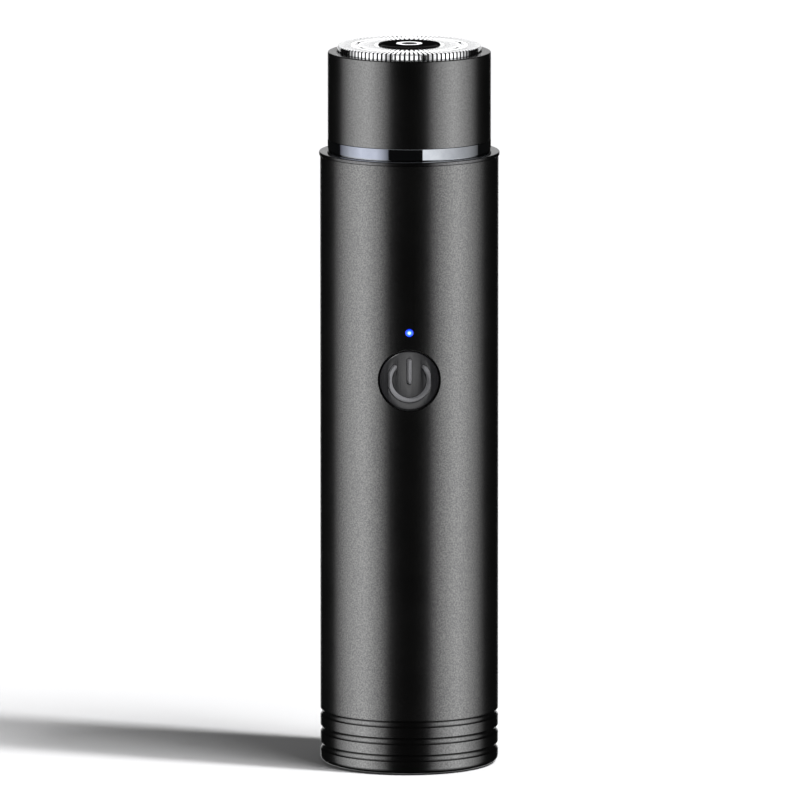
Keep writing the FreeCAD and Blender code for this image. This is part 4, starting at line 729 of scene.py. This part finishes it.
def round_polished(name, tones, line, gloss, relief):
    """Metal polished round the Z axis, with lines as wide as given in mm."""
    material, tree, place_out = start(name)
    flat = add(tree, "ShaderNodeVectorMath", {1: (1, 1, 0)}, {0: place_out}, operation="MULTIPLY")
    away = add(tree, "ShaderNodeVectorMath", links={0: flat.outputs[0]}, operation="LENGTH")
    apart = add(tree, "ShaderNodeSeparateXYZ", links={0: place_out})
    across = add(tree, "ShaderNodeCombineXYZ", links={"X": away.outputs["Value"], "Z": apart.outputs["Z"]})
    noise = add(tree, "ShaderNodeTexNoise", {"Scale": 1000 / line, "Detail": 2.0},
                {"Vector": across.outputs[0]})
    lines = noise.outputs["Fac"]
    colour = add(tree, RAMP, links={0: lines}, stops=[(0.3, tones[0]), (0.7, tones[1])]).outputs[0]
    rough = add(tree, "ShaderNodeMapRange", {"To Min": gloss[0], "To Max": gloss[1]}, {"Value": lines})
    bump = add(tree, "ShaderNodeBump", {"Distance": relief * MM}, {"Height": lines})
    end(tree, add(tree, "ShaderNodeBsdfPrincipled", {"Metallic": 1.0},
                  {"Base Color": colour, "Roughness": rough.outputs[0], "Normal": bump.outputs[0]}))
    return material


net_steel = round_polished("round_polished_stainless", ("d4d5d7", "f0f0f1"), 0.12, (0.07, 0.15), 0.001)
blade_steel = round_polished("ground_blade_steel", ("a4a6aa", "c8cace"), 0.08, (0.22, 0.34), 0.002)
print("metals:", chrome_dark.name, chrome_bright.name, net_steel.name, blade_steel.name)

# %% [markdown]
# ### Moulded pieces, and the walls of the slots
# The button is fine matt plastic, and its mark is a paler plastic moulded in. The badge is polished black
# acrylic. The foot is dark rubber with a soft bloom, and the seals are smooth silicone. The walls of the
# net's slots are coloured near black as painted shade, the shade that falls inside the slots.

# %% Plastics, rubbers and the slots' walls
# The slot walls' near-black colour is painted shade, for the shade inside the net's slots.
slot_shade_steel = finish("slot_wall_painted_shade", ("222224", "2e2e30"), 0.1, (0.5, 0.6), 0.001, 1.0)
key_plastic = finish("satin_black_abs", ("1c1c1e", "242426"), 0.18, (0.30, 0.34), 0.001, 0.0, IOR=1.5)
mark_plastic = finish("pale_grey_abs_mark", ("828285", "8e8e91"), 0.2, (0.45, 0.52), 0.001, 0.0, IOR=1.5)
badge_acrylic = finish("polished_black_acrylic", ("060607", "0a0a0b"), 2.0, (0.08, 0.14), 0.0, 0.0, IOR=1.3,
                       Specular_IOR_Level=0.2)
foot_rubber = finish("black_rubber", ("141415", "1e1e20"), 0.12, (0.72, 0.86), 0.01, 0.0, IOR=1.52)
seal_silicone = finish("grey_silicone", ("4a4a4d", "58585b"), 0.4, (0.38, 0.48), 0.002, 0.0, IOR=1.41)
print("plastics:", key_plastic.name, mark_plastic.name, badge_acrylic.name)

# %% [markdown]
# ### The light
# The pin is clear acrylic, lit from behind by a blue diode. Its middle glows nearly white and its rim deep
# blue, so the colour follows the distance from the pin's own axis.

# %% The lit pin
def lit_pin():
    """Glowing blue, white in the middle."""
    material, tree, place_out = start("lit_blue_acrylic")
    centred = add(tree, "ShaderNodeVectorMath", {1: (0, 0, LIGHT_Z)}, {0: place_out}, operation="SUBTRACT")
    flat = add(tree, "ShaderNodeVectorMath", {1: (1, 0, 1)}, {0: centred.outputs[0]}, operation="MULTIPLY")
    away = add(tree, "ShaderNodeVectorMath", links={0: flat.outputs[0]}, operation="LENGTH")
    part = add(tree, "ShaderNodeMapRange", {"From Max": PIN_R}, {"Value": away.outputs["Value"]})
    blues = [(0.0, "ffffff"), (0.22, "c4daff"), (0.5, "3f7dff"), (0.85, "123cf0"), (1.0, "0a20b0")]
    glow = add(tree, RAMP, links={0: part.outputs[0]}, stops=blues).outputs[0]
    values = {"Roughness": 0.12, "IOR": 1.49, "Emission Strength": 1.0}
    end(tree, add(tree, "ShaderNodeBsdfPrincipled", values, {"Base Color": glow, "Emission Color": glow}))
    return material


lens_glow = lit_pin()
print("light:", lens_glow.name)

# %% [markdown]
# ### Inner pieces
# What is inside shows only while the head is off or the socket is looked into, but each piece still gets its
# own finish: zinc-plated screws, a nickel-plated motor, copper, ferrite, nylon, the board's solder mask, and
# so on. A turned or drawn part has its grain stretched along the way it was worked.

# %% A table of inner finishes
ALONG_Z = (1, 1, 0.08)
LAYERS = (0.05, 0.05, 1)
inner = {
    "chassis_plastic": finish("dark_grey_abs_frame", ("3c3c3f", "48484b"), 0.3, (0.45, 0.58), 0.006),
    "screw_steel": finish("zinc_plated_steel", ("a3a6ab", "bfc2c6"), 0.25, (0.25, 0.38), 0.001, 1.0),
    "motor_steel": finish("nickel_plated_can", ("aeb0b3", "c6c8ca"), 0.2, (0.20, 0.32), 0.001, 1.0, ALONG_Z),
    "bell_plastic": finish("natural_nylon", ("d2cdbd", "e0dccf"), 0.5, (0.42, 0.52), 0.004),
    "magnet_dark": finish("sintered_ferrite", ("2e2e31", "3e3e42"), 0.15, (0.55, 0.70), 0.008, 0.3),
    "bronze": finish("sintered_bronze", ("9a6e3a", "b98b4e"), 0.12, (0.35, 0.50), 0.005, 1.0),
    "copper": finish("enamelled_copper", ("b05a2c", "cf7a44"), 0.3, (0.22, 0.35), 0.004, 1.0),
    "gold": finish("gold_plating", ("d9b25a", "ecca78"), 0.3, (0.15, 0.25), 0.0, 1.0),
    "cell_sleeve": finish("green_shrink_sleeve", ("1f6d54", "257a60"), 2.5, (0.22, 0.32), 0.01),
    "nickel": finish("nickel_strip", ("b9b7b0", "cfcdc7"), 0.2, (0.25, 0.38), 0.001, 1.0, ALONG_Z),
    "foam_grey": finish("open_cell_foam", ("4c4c4e", "68686a"), 0.35, (0.85, 0.95), 0.06),
    "board_green": finish("green_solder_mask", ("0c4a26", "11602f"), 0.6, (0.28, 0.40), 0.004),
    "chip_black": finish("moulded_epoxy", ("1c1c1d", "272729"), 0.1, (0.50, 0.62), 0.004),
    "inductor_grey": finish("ferrite_core", ("4a4a4c", "5a5a5c"), 0.12, (0.50, 0.65), 0.005),
    "ceramic_tan": finish("fired_ceramic", ("b59a72", "c9b08a"), 0.15, (0.35, 0.45), 0.002),
    "switch_metal": finish("stamped_stainless", ("acaeb1", "c8cacc"), 0.2, (0.22, 0.34), 0.001, 1.0),
    "flex_amber": finish("polyimide_film", ("a85e12", "c4761c"), 0.8, (0.25, 0.35), 0.002),
    "lead_red": finish("red_pvc_sleeve", ("a01414", "b81c1c"), 0.5, (0.38, 0.48), 0.002),
    "lead_black": finish("black_pvc_sleeve", ("161617", "222224"), 0.5, (0.38, 0.48), 0.002),
    "hub_white": finish("white_acetal", ("dedcd6", "ecebe6"), 0.5, (0.32, 0.42), 0.002),
    "spindle_grey": finish("grey_acetal", ("8e8e90", "9c9c9e"), 0.5, (0.32, 0.42), 0.002),
    "retainer_plastic": finish("black_moulded_abs", ("2a2a2c", "343437"), 0.25, (0.42, 0.54), 0.005),
    "carrier_plastic": finish("pale_grey_acetal", ("b4b4b3", "c4c4c2"), 0.5, (0.35, 0.45), 0.002),
    "spring_steel": finish("drawn_spring_wire", ("a0a2a6", "bcbec2"), 0.1, (0.22, 0.34), 0.0, 1.0),
    "shaft_steel": finish("ground_shaft_steel", ("b6b8bb", "cfd1d3"), 0.1, (0.12, 0.22), 0.0, 1.0),
    "lamination": finish("stacked_laminations", ("66686b", "84868a"), 0.35, (0.38, 0.50), 0.01, 1.0, LAYERS),
    "carbon": finish("pressed_carbon", ("2c2825", "3a3531"), 0.1, (0.60, 0.75), 0.006),
    "led_blue": finish("blue_diode_body", ("1b50d8", "2a66f0"), 0.4, (0.20, 0.30), 0.0),
    "rubber_black": foot_rubber,
    "seal_grey": seal_silicone,
    "blade_steel": blade_steel,
}
print(len(inner), "inner finishes")

# %% Give the new pieces their finish
outer = {
    tube: coat_handle, base: coat_base, collar: coat_collar, neck: chrome_dark, head: coat_head,
    foot: foot_rubber, net: net_steel, badge: badge_acrylic, badge_ring: chrome_bright,
    button: key_plastic, power_mark: mark_plastic, lens: lens_glow,
}
for piece, material in outer.items():
    piece.data.materials.clear()
    piece.data.materials.append(material)

# The faces of the slot walls take the near-black second material: painted shade inside the slots.
net.data.materials.append(slot_shade_steel)
for face in net.data.polygons:
    away = math.hypot(face.center.x, face.center.y)
    if abs(face.normal.z) < 0.5 and away < NET_R - 0.1 * MM and face.center.z > FLANGE_HIGH:
        face.material_index = 1
print(sum(face.material_index for face in net.data.polygons), "faces of slot walls")

# %% Give the inner pieces theirs
slot_of = {part["node"]: part["material_slot"] for part in frame["record"]["subparts"]}
kept = 0
for name, node_object in frame["nodes"].items():
    if slot_of[name] in inner:
        node_object.data.materials.clear()
        node_object.data.materials.append(inner[slot_of[name]])
        kept += 1
print(len(outer), "new pieces,", kept, "inner pieces finished")

# %% [markdown]
# ## The studio
# The shaver stands on a pale floor that the key light burns out to white, like the background. A soft key
# light from the right throws the long shadow to the left. Two tall soft boxes draw the two soft bands along
# the tube. They reach below the floor, and the floor lets them through and isn't mirrored, because the coat
# mirrors what is low in front of it, and the middle of the tube has to stay black.

# %% Floor and background
deselect()
bpy.ops.mesh.primitive_plane_add(size=14, location=(0, 0, 0))
floor = bpy.context.object
floor.name = "floor"
floor.visible_glossy = False
floor.visible_shadow = False
paper, paper_tree, _ = start("pale_paper")
end(paper_tree, add(paper_tree, "ShaderNodeBsdfPrincipled", {"Base Color": hexa("b9b9ba"), "Roughness": 0.9}))
floor.data.materials.append(paper)
print("floor", round(floor.dimensions.x), "m wide")

# %% [markdown]
# The room is white where the camera sees it, and almost black in what the pieces mirror, so that only the
# soft boxes draw on them.

# %% The room
world = bpy.data.worlds.new("white_room")
bpy.context.scene.world = world
world.use_nodes = True
sky = world.node_tree
sky.nodes.clear()
seen = add(sky, "ShaderNodeLightPath")
white = add(sky, "ShaderNodeBackground", {"Color": hexa("ffffff"), "Strength": 1.0})
dark = add(sky, "ShaderNodeBackground", {"Color": hexa("ffffff"), "Strength": 0.006})
both = add(sky, "ShaderNodeMixShader",
           links={0: seen.outputs["Is Camera Ray"], 1: dark.outputs[0], 2: white.outputs[0]})
add(sky, "ShaderNodeOutputWorld", links={"Surface": both.outputs[0]})

# %% [markdown]
# A soft box is an area light whose brightness fades from side to side, as cloth over a lamp does. The tall
# ones also fade at both ends, and the fade is what makes a band on the tube soft at its edge.

# %% A helper that hangs a soft box
EVEN = [(0.0, "ffffff"), (1.0, "ffffff")]
ENDS_FADE = [(0.0, "606060"), (0.27, "a0a0a0"), (0.33, "ffffff"), (0.67, "ffffff"), (0.73, "a0a0a0"),
             (1.0, "606060")]
TALL = 1.5


def soft_box(name, azimuth, away, wide, tall, radiance, middle_z, fade, lit, lean=0.0):
    """A tall soft box that faces the shaver: azimuth 0 is in front and 90 on the right, and fade gives its
    brightness from its left edge to its right as seen from the shaver. It lights only the pieces in lit."""
    light = bpy.data.lights.new(name, "AREA")
    light.shape = "RECTANGLE"
    light.size = wide
    light.size_y = tall
    light.energy = radiance * math.pi * wide * tall
    light.use_nodes = True
    tree = light.node_tree
    tree.nodes.clear()
    spot = add(tree, "ShaderNodeNewGeometry")
    apart = add(tree, "ShaderNodeSeparateXYZ", links={0: spot.outputs["Parametric"]})
    across = add(tree, RAMP, links={0: apart.outputs["X"]}, stops=fade).outputs[0]
    ends = ENDS_FADE if tall > TALL and not lean else EVEN
    upwards = add(tree, RAMP, links={0: apart.outputs["Y"]}, stops=ends).outputs[0]
    tone = add(tree, "ShaderNodeVectorMath", links={0: across, 1: upwards}, operation="MULTIPLY")
    glow = add(tree, "ShaderNodeEmission", {"Strength": 1.0}, {"Color": tone.outputs[0]})
    add(tree, "ShaderNodeOutputLight", links={"Surface": glow.outputs[0]})
    light_object = bpy.data.objects.new(name, light)
    bpy.context.scene.collection.objects.link(light_object)
    swing = math.radians(azimuth)
    light_object.location = (away * math.sin(swing), -away * math.cos(swing), middle_z)
    light_object.rotation_euler = (math.pi / 2 - lean, 0, swing)
    light_object.visible_camera = False
    only_for(light_object, lit)


def only_for(light_object, lit):
    """Let a light shine on the given pieces only, as a studio's flags and grids do."""
    group = bpy.data.collections.new("lit_by_" + light_object.name)
    for piece in lit:
        group.objects.link(piece)
    light_object.light_linking.receiver_collection = group

# %% Soft boxes for the coat
coated = [piece for piece in outer if piece not in (neck, button, power_mark, badge)]
inside_pieces = [node_object for name, node_object in frame["nodes"].items() if slot_of[name] in inner]
RIGHT_FADE = [(0.0, "606060"), (0.22, "c8c8c8"), (0.45, "ffffff"), (0.7, "b8b8b8"), (0.88, "6a6a6a"),
              (1.0, "000000")]
LEFT_FADE = [(0.0, "606060"), (0.12, "8c8c8c"), (0.35, "dcdcdc"), (0.58, "ffffff"), (0.82, "b0b0b0"),
             (1.0, "202020")]
soft_box("soft_box_right", 70, 0.60, 1.10, 1.90, 2.35, -0.035, RIGHT_FADE, coated + inside_pieces)
soft_box("soft_box_left", -69, 0.60, 1.10, 1.90, 2.4, -0.035, LEFT_FADE, coated + inside_pieces)
soft_box("soft_box_back", 180, 1.00, 0.50, 1.4, 0.7, 0.0, EVEN, coated + inside_pieces)
print(len(coated), "pieces under the tall boxes")

# %% [markdown]
# Bright metal, glossy plastic and satin coat mirror the same lamp very differently. So the neck, the net and
# the button have boxes of their own, and each box is linked to what it lights. The one above lets the net
# be seen from above, and the small one at the upper left shades the sunk mark.

# %% Soft boxes for the neck, the net and the button
BAND_RIGHT = [(0.0, "dedede"), (0.25, "d6d6d6"), (0.45, "b8b8b8"), (0.7, "8c8c8c"), (1.0, "404040")]
BAND_LEFT = [(0.0, "505058"), (0.25, "a0a2a8"), (0.5, "d2d4de"), (0.75, "c0c2cc"), (1.0, "606268")]
soft_box("band_box_right", 66, 0.60, 1.30, 0.8, 1.75, -0.035, BAND_RIGHT, [neck])
soft_box("band_box_left", -72, 0.60, 1.10, 0.8, 1.65, -0.035, BAND_LEFT, [neck])
soft_box("net_box_back", 180, 0.70, 1.00, 0.5, 1.05, 0.24, EVEN, [net, badge_ring])
soft_box("net_box_front", -4, 1.6, 1.30, 0.9, 1.6, -0.10, EVEN, [net, badge_ring, badge])
soft_box("net_box_top", 0, 0.0, 4.20, 4.20, 0.9, 1.1, EVEN, [net, badge_ring, badge, neck] + inside_pieces,
         lean=math.pi / 2)
soft_box("key_box_front", 0, 1.6, 1.10, 0.9, 2.5, -0.15, EVEN, [button])
soft_box("key_box_left", -45, 0.60, 0.12, 0.12, 70.0, 0.37, EVEN, [button, power_mark], lean=0.47)

# %% [markdown]
# The floor has lights of its own. A fan of small suns from the right throws the shadow to the left and a
# little backwards: those at one side share its sharp front edge and differ in height, so it fades along its
# length, and the softer ones blur its back. A wide sky from above keeps it grey and darkens the contact.

# %% Lights for the floor
def sun(name, azimuth, height, strength, spread):
    """A sun that lights only the floor. All pieces still cast their shadows."""
    light = bpy.data.lights.new(name, "SUN")
    light.energy = strength
    light.angle = math.radians(spread)
    light_object = bpy.data.objects.new(name, light)
    bpy.context.scene.collection.objects.link(light_object)
    side, up = math.radians(azimuth), math.radians(height)
    toward = Vector((math.cos(up) * math.sin(side), -math.cos(up) * math.cos(side), math.sin(up)))
    light_object.rotation_euler = toward.to_track_quat("Z", "Y").to_euler()
    only_for(light_object, [floor])


sun("sun_low", 68, 46, 2.7, 6)
sun("sun_half_way", 68, 57, 1.4, 6)
sun("sun_high", 68, 65, 0.9, 6)
sun("sun_soft", 57, 52, 1.3, 16)
sun("sun_front", 45, 60, 1.3, 20)
sun("sky", 0, 88, 0.7, 150)

# %% [markdown]
# ## The camera
# A product portrait is taken from far away with a long lens, so that the tube's sides stay parallel. The
# camera is a little above the object and looks down by a few degrees, which opens the net's top to view.

# %% Camera
AIM = Vector((-0.00146, 0, 0.05753))
AWAY = 2.5357
HEIGHT_ANGLE = math.radians(8.7)
lens_data = bpy.data.cameras.new("camera")
lens_data.lens = 725.6
lens_data.sensor_width = 36
lens_data.clip_end = 50
camera = bpy.data.objects.new("camera", lens_data)
bpy.context.scene.collection.objects.link(camera)
camera.location = AIM + Vector((0, -AWAY * math.cos(HEIGHT_ANGLE), AWAY * math.sin(HEIGHT_ANGLE)))
camera.rotation_euler = (math.pi / 2 - HEIGHT_ANGLE, 0, 0)
bpy.context.scene.camera = camera
bpy.context.scene.view_settings.view_transform = "Standard"
bpy.context.scene.view_settings.look = "None"
print("camera", [round(value, 3) for value in camera.location])
